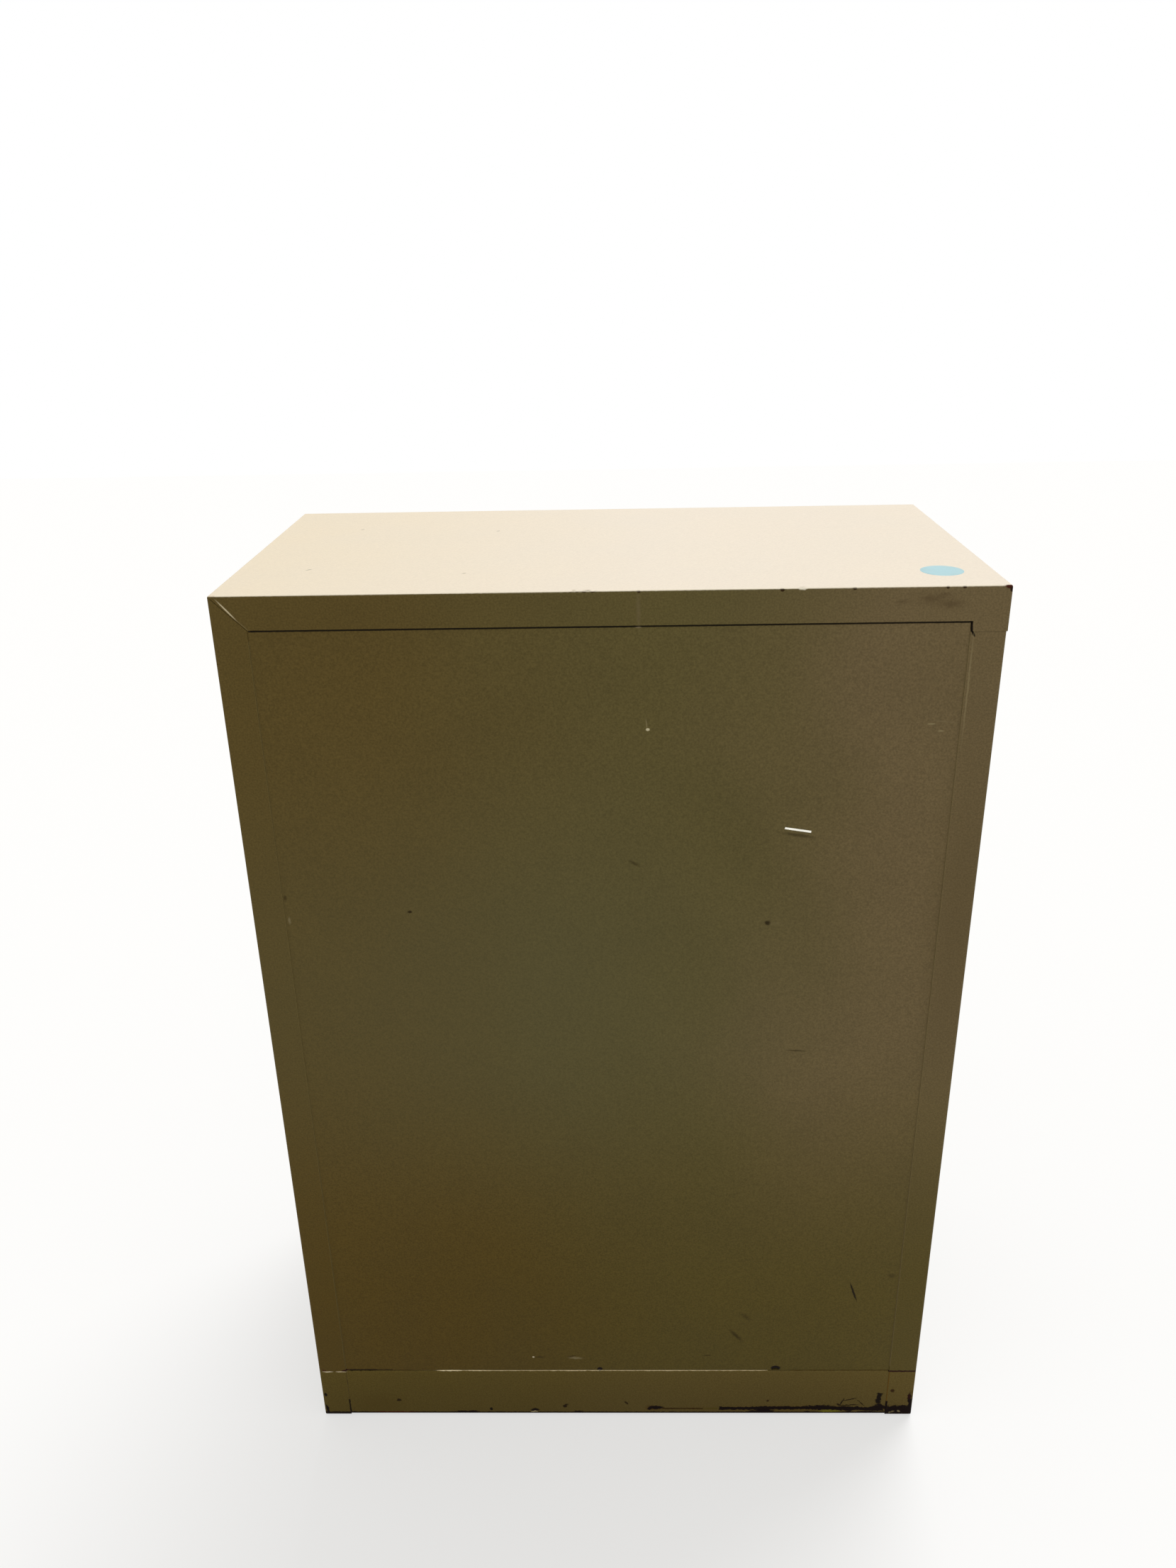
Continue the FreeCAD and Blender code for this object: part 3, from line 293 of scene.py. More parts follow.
@dataclass(frozen=True)
class BakedEnamel(Finish):
    """Putty-coloured stoving enamel, sprayed on steel sheet.

    It gives the eye a dull satin with a fine orange peel, tones that wander slowly from brown to
    olive, edges rubbed through to brown primer, and grime near the floor. Painted light makes it
    lighter towards -X and higher up, and the top pale where asked, and painted shade darkens it
    towards the floor.
    """

    brown: str = "#6D5D34"
    olive: str = "#6F6640"
    grey: str = "#817254"
    # Painted light on the top: its pale colours at +X and towards -X, where light from above falls
    lit_top: str | None = None
    lit_top_far: str = "#EFE4D4"
    primer: str = "#3B2A17"
    mop_grime: str = "#2E2413"
    # The tint of the painted shade towards the floor
    low_shade_tint: Point = (0.84, 0.78, 0.55)
    wear: float = 0.5
    wear_from: float = 0.56
    grime: float = 0.5
    gloss: float = 0.22
    peel_mm: float = 2.2
    marks: tuple[Mark, ...] = ()

    def dress(self, add: Adder, place: Socket) -> Inputs:
        """Adds the paint's tones, wear, marks and orange peel.

        Args:
            add: Adds a node to the material.
            place: The point on the piece, in metres.

        Returns:
            The surface shader's inputs.
        """
        axes = add("SeparateXYZ", [place]).outputs
        # Clouds half a metre across, where the paint has turned olive or brown with age
        cloud = add("TexNoise", {"Vector": place, "Scale": 2.1, "Detail": 2.0})
        fade = add("TexNoise", {"Vector": place, "Scale": 9.0, "Detail": 4.0})
        # The grain stands for the fine orange peel, drawn coarse so that it shows
        fine = 1 / (self.peel_mm * MM)
        grain = add("TexNoise", {"Vector": place, "Scale": fine, "Detail": 2.0})
        # Adding X to the clouds turns the tone to a lighter grey towards -X and higher up: painted
        # light, on the side that more light falls on
        cloud_and_lit_side = add("Math", [cloud, 0.5, axes["X"]], operation="MULTIPLY_ADD")
        olive = add("MapRange", {"Value": cloud_and_lit_side, "From Min": 0.60, "From Max": 0.10}, **SMOOTH)
        grey = add("MapRange", {"Value": cloud_and_lit_side, "From Min": 0.16, "From Max": -0.14}, **SMOOTH)
        high = add("MapRange", {"Value": axes["Z"], "From Min": 0.22, "From Max": 0.80}, **SMOOTH)
        grey = add("Math", [grey, high], operation="MULTIPLY")
        tone = add("Mix", [olive, linear(self.brown), linear(self.olive)], data_type="RGBA")
        tone = add("Mix", [grey, tone, linear(self.grey)], data_type="RGBA")
        # Darker and yellower towards the floor, painted shade where less light reaches, with a
        # mottled brightness
        low = add("MapRange", {"Value": axes["Z"], "From Min": 0.2, "From Max": 0.72}, **SMOOTH)
        low_shade = add("Mix", [low, (*self.low_shade_tint, 1.0), WHITE], data_type="RGBA")
        tone = add("VectorMath", [tone, low_shade], operation="MULTIPLY")
        middle = {"From Min": 0.25, "From Max": 0.75}
        mottle = add("MapRange", {"Value": fade, **middle, "To Min": 0.95, "To Max": 1.05})
        speck = add("MapRange", {"Value": grain, **middle, "To Min": 0.8, "To Max": 1.2})
        level = add("Math", [mottle, speck], operation="MULTIPLY")
        paint = add("VectorMath", [tone, level], operation="SCALE")
        # Painted light: the top is made pale where the light from above falls on it
        if self.lit_top:
            paint = self.paint_lit_top(add, axes, level, paint)
        paint = self.soil(add, axes, fade, paint)
        paint = self.rub(add, place, paint)
        shine = None
        if self.marks:
            paint, shine = self.scar(add, place, axes, paint)
        dull = {"To Min": self.roughness - 0.05, "To Max": self.roughness + 0.07}
        # Orange peel a few hundredths of a millimetre high, over sheet that isn't quite flat
        peel = add("Bump", {"Height": grain, "Distance": 0.00005, "Strength": 0.8})
        swell = add("TexNoise", {"Vector": place, "Scale": 4.2, "Detail": 1.0})
        wavy = {"Height": swell, "Distance": 0.0011, "Strength": 1.0, "Normal": peel}
        return {
            "Base Color": paint,
            "Roughness": add("MapRange", {"Value": fade, "From Min": 0.3, "From Max": 0.7, **dull}),
            "Normal": add("Bump", wavy),
            "Metallic": shine or 0.0,
            "IOR": 1.5,
            "Specular IOR Level": self.gloss,
        }

    def paint_lit_top(self, add: Adder, axes: Sockets, level: Node, paint: Node) -> Node:
        """Paints the top pale, up to the bend: painted light, where the light from above falls on
        it.

        Args:
            add: Adds a node to the material.
            axes: The point's coordinates.
            level: The paint's brightness, slow clouds and fine grain.
            paint: The paint so far.

        Returns:
            The paint with the painted light on its top.
        """
        across = add("MapRange", {"Value": axes["X"], "From Min": 0.42, "From Max": -0.05})
        tone = add("Mix", [across, linear(self.lit_top), linear(self.lit_top_far)], data_type="RGBA")
        span = {"From Min": 0.8, "From Max": 1.2, "To Min": 0.955, "To Max": 1.045}
        calm = add("MapRange", {"Value": level, **span})
        mild = add("VectorMath", [tone, calm], operation="SCALE")
        bend = {"From Min": TOP_FACE - 0.0016, "From Max": TOP_FACE - 0.0004}
        height = add("MapRange", {"Value": axes["Z"], **bend}, **SMOOTH)
        return add("Mix", [height, paint, mild], data_type="RGBA")

    def soil(self, add: Adder, axes: Sockets, fade: Node, paint: Node) -> Node:
        """Adds mop grime in the lowest centimetres.

        Args:
            add: Adds a node to the material.
            axes: The point's coordinates.
            fade: Noise that breaks the grime up.
            paint: The paint so far.

        Returns:
            The paint with its grime.
        """
        reach = {"From Min": 0.11, "From Max": 0.0, "To Max": 0.9}
        near_floor = add("MapRange", {"Value": axes["Z"], **reach}, **SMOOTH)
        broken = add("Math", [near_floor, fade], operation="MULTIPLY")
        amount = add("Math", [broken, self.grime], operation="MULTIPLY")
        return add("Mix", [amount, paint, linear(self.mop_grime)], data_type="RGBA")

    def rub(self, add: Adder, place: Socket, paint: Node) -> Node:
        """Rubs the paint through to primer along the edges, in patches.

        Args:
            add: Adds a node to the material.
            place: The point on the piece.
            paint: The paint so far.

        Returns:
            The paint with its worn edges.
        """
        rounded = add("Bevel", {"Radius": 0.0013}, samples=6)
        plain = add("NewGeometry").outputs["Normal"]
        match = add("VectorMath", [rounded, plain], operation="DOT_PRODUCT")
        edge = add("MapRange", {"Value": match, "From Min": 0.985, "From Max": 0.9})
        patch = add("TexNoise", {"Vector": place, "Scale": 55.0, "Detail": 6.0})
        start = self.wear_from
        chipped = add("MapRange", {"Value": patch, "From Min": start, "From Max": start + 0.05})
        worn = add("Math", [edge, chipped], operation="MULTIPLY")
        amount = add("Math", [worn, self.wear], operation="MULTIPLY")
        return add("Mix", [amount, paint, linear(self.primer)], data_type="RGBA")

    def scar(
        self, add: Adder, place: Socket, axes: Sockets, paint: Node
    ) -> tuple[Node, Node | None]:
        """Lays the marks over the paint, one after another.

        Args:
            add: Adds a node to the material.
            place: The point on the piece.
            axes: The point's coordinates.
            paint: The paint so far.

        Returns:
            The marked paint, and how bare and bright the metal is, if any mark is bright.
        """
        # The back's marks stop short of the top's flat, so they only cross its rear bend
        rise = {"From Min": 1.300, "From Max": 1.301, "To Min": 0.231, "To Max": 0.2425}
        behind = add("MapRange", {"Value": axes["Z"], **rise})
        # Each side's two axes, and where it begins along the third
        layout = {
            Side.BACK: ("X", "Z", "Y", "GREATER_THAN", behind),
            Side.FRONT: ("X", "Z", "Y", "LESS_THAN", -0.2405),
            Side.TOP: ("X", "Y", "Z", "GREATER_THAN", 1.312),
            Side.RIGHT: ("Y", "Z", "X", "GREATER_THAN", 0.4550),
            Side.LEFT: ("Y", "Z", "X", "LESS_THAN", -0.4550),
        }
        in_mm = {a: add("Math", [axes[a], 1 / MM], operation="MULTIPLY") for a in "XYZ"}
        places = {}
        for side in {mark.side: None for mark in self.marks}:
            across, up, out, way, limit = layout[side]
            here = add("Math", [axes[out], limit], operation=way)
            # The place is far from every mark where the point isn't on that side
            hidden = add("MapRange", {"Value": here, "To Min": OFF_SIDE_MM, "To Max": 0.0})
            places[side] = add("CombineXYZ", [in_mm[across], in_mm[up], hidden])
        noise = add("TexNoise", {"Vector": place, "Scale": 190.0, "Detail": 4.0})
        jitter = add("VectorMath", [noise.outputs["Color"], (0.5, 0.5, 0.5)], operation="SUBTRACT")
        shine = None
        for mark in self.marks:
            mask = mark.add_mask(add, places, jitter)
            paint = add("Mix", [mask, paint, linear(mark.colour)], data_type="RGBA")
            # A bright mark is metal that mirrors the pale background: bare metal in chips, and a
            # painted glint on dents, seams and edges that catch the light
            if mark.bright:
                part = add("Math", [mask, mark.bright], operation="MULTIPLY")
                shine = add("Math", [shine, part], operation="MAXIMUM") if shine else part
        return paint, shine


@dataclass(frozen=True)
class ZincSteel(Finish):
    """Zinc on steel, hot-dipped or plated.

    It gives the eye a grey metal with crystals of slightly different greys, if dipped, or fine
    drawing lines, if rolled and plated, and a dull film in patches.
    """

    colour: str = "#A9ABAA"
    dark: str = "#85878A"
    crystal_mm: float = 9.0
    line_mm: float = 0.0

    def dress(self, add: Adder, place: Socket) -> Inputs:
        """Adds the crystals or lines, the dull film and their roughness.

        Args:
            add: Adds a node to the material.
            place: The point on the piece, in metres.

        Returns:
            The surface shader's inputs.
        """
        if self.line_mm:
            # Rolling lines along Y, drawn at a visible pitch
            fine = 1 / (self.line_mm * MM)
            along = add("Mapping", {"Vector": place, "Scale": (fine, 3.0, fine)})
            pattern = add("TexNoise", {"Vector": along, "Scale": 1.0, "Detail": 3.0}).outputs["Fac"]
        else:
            cells = {"Vector": place, "Scale": 1 / (self.crystal_mm * MM), "Randomness": 1.0}
            pattern = add("TexVoronoi", cells).outputs["Color"]
        film = add("TexNoise", {"Vector": place, "Scale": 14.0, "Detail": 5.0})
        both = add("Math", [pattern, film], operation="MULTIPLY")
        amount = add("MapRange", {"Value": both, "From Min": 0.05, "From Max": 0.5})
        dull = {"To Min": self.roughness - 0.1, "To Max": self.roughness + 0.15}
        return {
            "Base Color": add(
                "Mix", [amount, linear(self.dark), linear(self.colour)], data_type="RGBA"
            ),
            "Roughness": add("MapRange", {"Value": film, **dull}),
            "Normal": add("Bump", {"Height": pattern, "Distance": 0.00002, "Strength": 0.5}),
            "Metallic": 1.0,
        }


@dataclass(frozen=True)
class BrushedAluminium(Finish):
    """Extruded aluminium, brushed along its length and anodised, or left as it came.

    It gives the eye a pale satin metal with lines along X and the grey film of many hands.
    """

    colour: str = "#C6C5C1"
    film: str = "#AAA79F"
    line_mm: float = 0.7

    def dress(self, add: Adder, place: Socket) -> Inputs:
        """Adds the brush lines and the hand film.

        Args:
            add: Adds a node to the material.
            place: The point on the piece, in metres.

        Returns:
            The surface shader's inputs.
        """
        fine = 1 / (self.line_mm * MM)
        along = add("Mapping", {"Vector": place, "Scale": (6.0, fine, fine)})
        lines = add("TexNoise", {"Vector": along, "Scale": 1.0, "Detail": 4.0})
        hands = add("TexNoise", {"Vector": place, "Scale": 18.0, "Detail": 5.0})
        touched = {"From Min": 0.45, "From Max": 0.85, "To Max": 0.6}
        soiled = add("MapRange", {"Value": hands, **touched})
        streaks = {"From Min": 0.3, "From Max": 0.7, "To Min": 0.9, "To Max": 1.05}
        line_tone = add("MapRange", {"Value": lines, **streaks})
        metal = add("VectorMath", [linear(self.colour)[:3], line_tone], operation="SCALE")
        dull = {"To Min": self.roughness - 0.06, "To Max": self.roughness + 0.14}
        return {
            "Base Color": add("Mix", [soiled, metal, linear(self.film)], data_type="RGBA"),
            "Roughness": add("MapRange", {"Value": hands, **dull}),
            "Normal": add("Bump", {"Height": lines, "Distance": 0.00002, "Strength": 0.7}),
            "Metallic": 1.0,
        }


@dataclass(frozen=True)
class ChromePlate(Finish):
    """Bright chrome plate over die-cast metal.

    It gives the eye a mirror with finger smears and a few fine scratches round the key.
    """

    colour: str = "#D9DADC"
    smeared: str = "#BFC0C2"

    def dress(self, add: Adder, place: Socket) -> Inputs:
        """Adds smears and scratches to the mirror.

        Args:
            add: Adds a node to the material.
            place: The point on the piece, in metres.

        Returns:
            The surface shader's inputs.
        """
        smear = add("TexNoise", {"Vector": place, "Scale": 160.0, "Detail": 4.0})
        scratch = add("TexNoise", {"Vector": place, "Scale": 1900.0, "Distortion": 2.5})
        dull = {"From Min": 0.35, "From Max": 0.75, "To Min": 0.07, "To Max": 0.3}
        tones = [smear, linear(self.colour), linear(self.smeared)]
        return {
            "Base Color": add("Mix", tones, data_type="RGBA"),
            "Roughness": add("MapRange", {"Value": smear, **dull}),
            "Normal": add("Bump", {"Height": scratch, "Distance": 0.000004, "Strength": 0.5}),
            "Metallic": 1.0,
        }


@dataclass(frozen=True)
class MouldedOrCoated(Finish):
    """Lacquer, moulded plastic, rubber, vinyl or card: one colour, dust and a fine texture.

    It gives the eye an even coat, a little paler where dust and rubbing have dulled it, or
    turned yellow in patches where it is card.
    """

    colour: str = "#242321"
    dust: str = "#5B564C"
    dusty: float = 0.35
    grain_mm: float = 0.8
    relief_mm: float = 0.03
    gloss: float = 0.5

    def dress(self, add: Adder, place: Socket) -> Inputs:
        """Adds the grain and the dust.

        Args:
            add: Adds a node to the material.
            place: The point on the piece, in metres.

        Returns:
            The surface shader's inputs.
        """
        fine = 1 / (self.grain_mm * MM)
        grain = add("TexNoise", {"Vector": place, "Scale": fine, "Detail": 3.0})
        patches = add("TexNoise", {"Vector": place, "Scale": 45.0, "Detail": 5.0})
        settled = {"From Min": 0.42, "From Max": 0.8, "To Max": self.dusty}
        dusted = add("MapRange", {"Value": patches, **settled})
        tones = [dusted, linear(self.colour), linear(self.dust)]
        dull = {"To Min": self.roughness - 0.08, "To Max": self.roughness + 0.12}
        relief = {"Height": grain, "Distance": self.relief_mm * MM, "Strength": 0.6}
        return {
            "Base Color": add("Mix", tones, data_type="RGBA"),
            "Roughness": add("MapRange", {"Value": patches, **dull}),
            "Normal": add("Bump", relief),
            "Specular IOR Level": self.gloss,
        }


def marks(side: Side, *rows: tuple) -> tuple[Mark, ...]:
    """Makes the marks of one side from rows of their values, in the order of Mark's fields."""
    return tuple(Mark(side, *row) for row in rows)


# Marks on the shell and the panel, placed where the photograph shows them
SHADOW = "#110A02"
PRIMER = "#3A2712"
# Near white, for a painted glint
PAINTED_GLINT = "#FFFDF2"
PALE = "#A69A78"
CASE_BACK = marks(
    Side.BACK,
    # A greener cloud in the panel's middle, and the duller stretch of the flange
    (180, 780, 640, 460, "#6B6E54", 0, 0.3, 0.95),
    (-439, 881, 62, 360, "#5C4F32", 0, 0.3, 0.9),
    # The painted shadow line under the upper flange, turning down along the hook where the sheet
    # ends
    (-1.5, 1272, 832, 2.4, SHADOW, 0, 0.95, 0.3, 0.8, 1),
    (-416.6, 1266.6, 12, 2.4, SHADOW, 86, 1, 0.3, 1, 1),
    (-419, 1258.6, 8.5, 2.5, SHADOW, 58, 1, 0.3, 1),
    # The dent below the middle: a painted glint in near-white metal where it shines, and its
    # painted shadow
    (-231.8, 1003.8, 34, 4, "#332A12", 9.4, 0.55, 0.8),
    (-231.8, 1010.8, 33, 2.7, PAINTED_GLINT, 9.4, 1, 0.25, 0.6, 1, 1),
    (-45.5, 1151.5, 14, 1.4, PALE, 84, 0.45, 0.5, 1),
    # A light tick on a small dent, a painted glint
    (-47, 1145, 4.4, 3.4, "#D8CFAE", 0, 0.9, 0.4, 0.8, 0, 0.6),
    (-30, 967, 13, 4, "#352A13", 28, 0.55, 0.9, 2),
    (255.5, 900.5, 5.5, 3.8, "#2C210D", 0, 0.9, 0.5, 1.5),
    (-199.5, 880, 7, 6, "#2C220F", 30, 0.9, 0.5, 2),
    (-210, 879, 13, 5, "#857A58", 0, 0.35, 0.8, 2),
    (-246, 684, 24, 1.6, "#3A3016", 4, 0.75, 0.5, 1.2),
    (-282, 691, 26, 1.4, "#8D8160", 6, 0.35, 0.6, 1.5),
    (-350.8, 254.8, 35, 3, "#1D1507", 71.8, 0.95, 0.35, 1.5),
    (-181, 168, 24, 5, "#33280F", 48, 0.75, 0.8, 4),
    (-194, 206, 17, 6, "#352A14", 42, 0.45, 0.9, 4),
    (-138, 127, 12, 1.8, "#33280F", 3, 0.6, 0.6, 2),
    (-405, 286, 8, 7, "#342915", 0, 0.5, 0.9, 2),
    (126, 124, 3.4, 3, "#E0D6B8", 0, 0.9, 0.4, 0.6, 0, 0.5),
    (116, 124, 14, 3.5, "#3B2E15", 0, 0.55, 0.8, 3),
    (68, 125, 13, 4, "#3B2E15", -15, 0.55, 0.8, 4),
    (62, 122, 18, 4, "#9B8F6E", 4, 0.75, 0.7, 4),
    (-382, 1148, 9, 2, PALE, 0, 0.7, 0.5, 1.2),
    (-396, 1151, 26, 1.2, "#93876A", 6, 0.4, 0.5, 1.2),
    (-394, 1139, 7, 1.8, PALE, 0, 0.75, 0.5, 1.2),
    (-36, 1292, 40, 4, "#86795C", 88, 0.4, 0.9, 1),
    (-36, 1270.6, 7, 1.5, "#A3967A", 0, 0.5, 0.6, 0.5),
    (-334.4, 1295.9, 14, 5, "#4E3A28", 0, 0.3, 0.9, 12),
    (-366.4, 1300.2, 16, 6, "#4E3A28", 0, 0.3, 0.9, 12),
    (-391.5, 1293.5, 18, 6, "#4E3A28", 0, 0.3, 0.9, 12),
    (-382, 1303.9, 14, 4, "#4E3A28", 0, 0.3, 0.9, 12),
    (-376, 1297, 48, 15, "#5E4E36", 10, 0.3, 0.9, 14),
    (413, 922, 7, 4, "#3A2D16", 90, 0.6, 0.7, 2),
    (411, 889, 9, 3, "#A39878", 90, 0.5, 0.7, 2),
    # Pale lines down both upright flanges' inner edges, a painted highlight where the edges catch
    # the light, and the joint of the mitre, with a painted glint
    (415.6, 680, 1160, 1.6, "#82754C", 90, 0.55, 0.6, 1, 1),
    (-415.8, 680, 1150, 1.6, "#8A7D5A", 90, 0.5, 0.6, 1, 1),
    (-419.6, 1195, 120, 2, "#A09371", 90, 0.6, 0.6, 2),
    (436.5, 1297.5, 28, 1.7, "#DDD1B2", 49.5, 0.9, 0.5, 0.3, 0, 0.35),
    (420, 1279.5, 18, 1.1, "#8B7E5C", 46, 0.6, 0.5, 0.3),
    # The dark insides of the two notches at the panel's foot, painted shade in the holes
    (-242.9, 100.8, 14.4, 9.6, "#140703", 0, 1, 0.2, 1.5),
    (25, 99.2, 8.4, 7, "#140703", 0, 1, 0.2, 1.5),
    # Chips along the rear edge of the top
    (-455, 1312.8, 11, 5, "#4A1F10", 0, 1, 0.3, 2),
    (-458, 1309.5, 6, 6, "#2A170A", 0, 1, 0.3, 2),
    (27, 1313.6, 30, 1.8, PRIMER, 0, 0.85, 0.3, 6),
    (-36, 1312.8, 4, 3.4, PRIMER, 0, 0.95, 0.3, 3),
    (-199, 1312.8, 5, 3.8, PRIMER, 0, 1, 0.3, 3),
    (-222, 1313.2, 9, 2.4, "#FFF9E8", 0, 0.9, 0.4, 3),
    (-281, 1312.8, 4.6, 3.6, PRIMER, 0, 1, 0.3, 3),
    (-385, 1312.9, 4, 3.2, PRIMER, 0, 0.95, 0.3, 3),
    (-404, 1312.9, 4.6, 3.2, PRIMER, 0, 1, 0.3, 3),
)
CASE_TOP = marks(
    Side.TOP,
    # A painted highlight along the top's rear edge, where its bend catches the light
    (0, 242.8, 896, 1.8, "#FFF6E2", 0, 0.7, 0.6, 1, 1),
    (345, -118, 5.5, 1.7, "#5E5744", 30, 0.9, 0.5, 0.5),
    (367, 122, 8, 1.7, "#6C6552", 40, 0.9, 0.5, 0.5),
    (151, -94, 5, 1.7, "#5E5744", 20, 0.9, 0.5, 0.5),
    (172, 152, 5, 2.6, "#A2957A", 30, 0.8, 0.6, 0.8),
    (37, 240, 5, 1.8, "#8A7A5A", 0, 0.8, 0.5, 1.5),
    (22, 241, 9, 1.8, "#6B5A3C", 0, 0.8, 0.5, 2),
    (-222, 240.5, 9, 2, "#8C7C60", 0, 0.6, 0.5, 1.5),
)
# The seam between case and base: pale where its rounded edges catch the light, a painted highlight
# on edges that are also rubbed, with a painted shade line in the gap above; brown elsewhere
SEAM = marks(
    Side.BACK,
    (-340, 95.8, 150, 1.6, "#5C4518", 0, 0.8, 0.5, 2, 1),
    (389.1, 97, 43, 3.4, "#241804", 0, 1, 0.35, 2.5, 1),
    (356.3, 97, 25, 2.6, "#2E2008", 0, 0.9, 0.4, 2.5, 1),
    (328.1, 96.8, 30, 2.2, "#54411B", 0, 0.8, 0.5, 2),
    (292.4, 96, 44, 1.6, "#8C7D58", 0, 0.6, 0.5, 2),
    (22, 97.3, 506, 1.2, "#241804", 0, 0.7, 0.5, 0.8, 1),
    (22, 95.6, 506, 1.6, "#E6D9B4", 0, 0.95, 0.4, 1, 1, 0.3),
    (254.7, 95.7, 46, 2, "#FFF6DA", 0, 1, 0.35, 1.2, 0, 0.4),
    (215, 95.7, 40, 1.8, "#F4E9C9", 0, 0.9, 0.35, 1.2, 0, 0.35),
    (60, 95.7, 120, 1.7, "#EBDFBE", 0, 0.8, 0.4, 1.2, 0, 0.3),
    (-80, 95.7, 110, 1.6, "#EBDFBE", 0, 0.7, 0.4, 1.2, 0, 0.3),
    (444.3, 94.2, 15, 2.4, "#E0D2B4", 0, 0.95, 0.4, 3, 0, 0.3),
    (423.5, 94.2, 16, 2.2, "#CDBE9C", 0, 0.9, 0.4, 3, 0, 0.2),
    (416.4, 97.2, 12, 3.6, "#33120A", -11, 1, 0.35, 3),
    (449.4, 97, 7, 2.8, "#4A1A0E", 14, 0.8, 0.35, 3),
    (-436, 95.4, 42, 3.2, "#2C0E08", 0, 1, 0.35, 2, 1),
)
# Light wear on the sides that the photograph doesn't show
CASE_RIGHT = marks(
    Side.RIGHT,
    (-90, 655, 120, 1.8, PALE, 2, 0.35, 0.7, 2),
    (40, 669, 85, 1.4, "#93876A", -1.5, 0.35, 0.7, 2),
    (118, 1012, 34, 1.5, "#3A3016", 70, 0.6, 0.5, 1.5),
    (-206, 305, 7, 4.5, PRIMER, 20, 0.9, 0.35, 3),
    (-150, 190, 46, 4, "#33280F", 6, 0.5, 0.8, 5),
)
CASE_LEFT = marks(
    Side.LEFT,
    (60, 884, 48, 1.5, PALE, -62, 0.45, 0.6, 1.5),
    (-150, 560, 90, 1.8, "#93876A", 3, 0.4, 0.7, 2),
    (172, 352, 7, 5, PRIMER, 0, 0.9, 0.35, 3),
    (10, 152, 60, 4, "#33280F", 4, 0.5, 0.8, 5),
)
CASE_FRONT = marks(
    Side.FRONT,
    (-449, 705, 5, 10, PRIMER, 0, 0.9, 0.35, 3),
    (452, 428, 5, 8, PRIMER, 0, 0.9, 0.35, 3),
    (262, 1300, 38, 1.4, PALE, -8, 0.45, 0.6, 1.5),
    (-118, 1296, 6, 3.6, PRIMER, 0, 0.9, 0.35, 2.5),
    # Where the other keys on the ring swing against the paint
    (413.5, 1282.5, 12, 1.1, PALE, 64, 0.5, 0.5, 0.8),
    (419, 1283.5, 9, 1, PALE, 118, 0.45, 0.5, 0.8),
    (415.5, 1284, 22, 9, "#4A3B1E", 0, 0.3, 1, 3),
)
# Fingermarks below each pull, scratches and chips on the drawer fronts
DRAWER_FRONT = marks(
    Side.FRONT,
    *(
        (x, 1000 * low + 252, 150, 22, "#3B2E14", 0, 0.3, 1, 4)
        for low in DRAWER_FLOORS.values()
        for x in (-118, 112)
    ),
    (212, 1122, 46, 1.4, PALE, -12, 0.5, 0.6, 1.5),
    (-302, 1036, 30, 1.5, "#44371A", 78, 0.6, 0.6, 1.5),
    (-426, 1246, 8, 4.5, PRIMER, 0, 0.95, 0.35, 3),
    (-404, 846, 7, 4.5, PRIMER, 30, 0.95, 0.35, 3),
    (96, 744, 62, 1.4, "#8D8160", 7, 0.5, 0.6, 1.5),
    (338, 592, 5, 4, PRIMER, 0, 0.95, 0.35, 3),
    (-210, 472, 38, 1.5, PALE, -25, 0.5, 0.5, 1.5),
    (-96, 302, 70, 1.6, "#8D8160", 3, 0.45, 0.6, 1.5),
    (260, 206, 10, 6.5, PRIMER, 20, 1, 0.35, 4),
    (261, 205, 4, 2.6, "#A39878", 20, 0.9, 0.4, 2, 0, 0.3),
    (-340, 152, 26, 6, "#2A1D0C", 10, 0.7, 0.7, 6),
    (30, 129, 90, 4.5, "#2F2412", 2, 0.5, 0.8, 6),
    (424, 111, 16, 6, PRIMER, -18, 1, 0.35, 5),
)
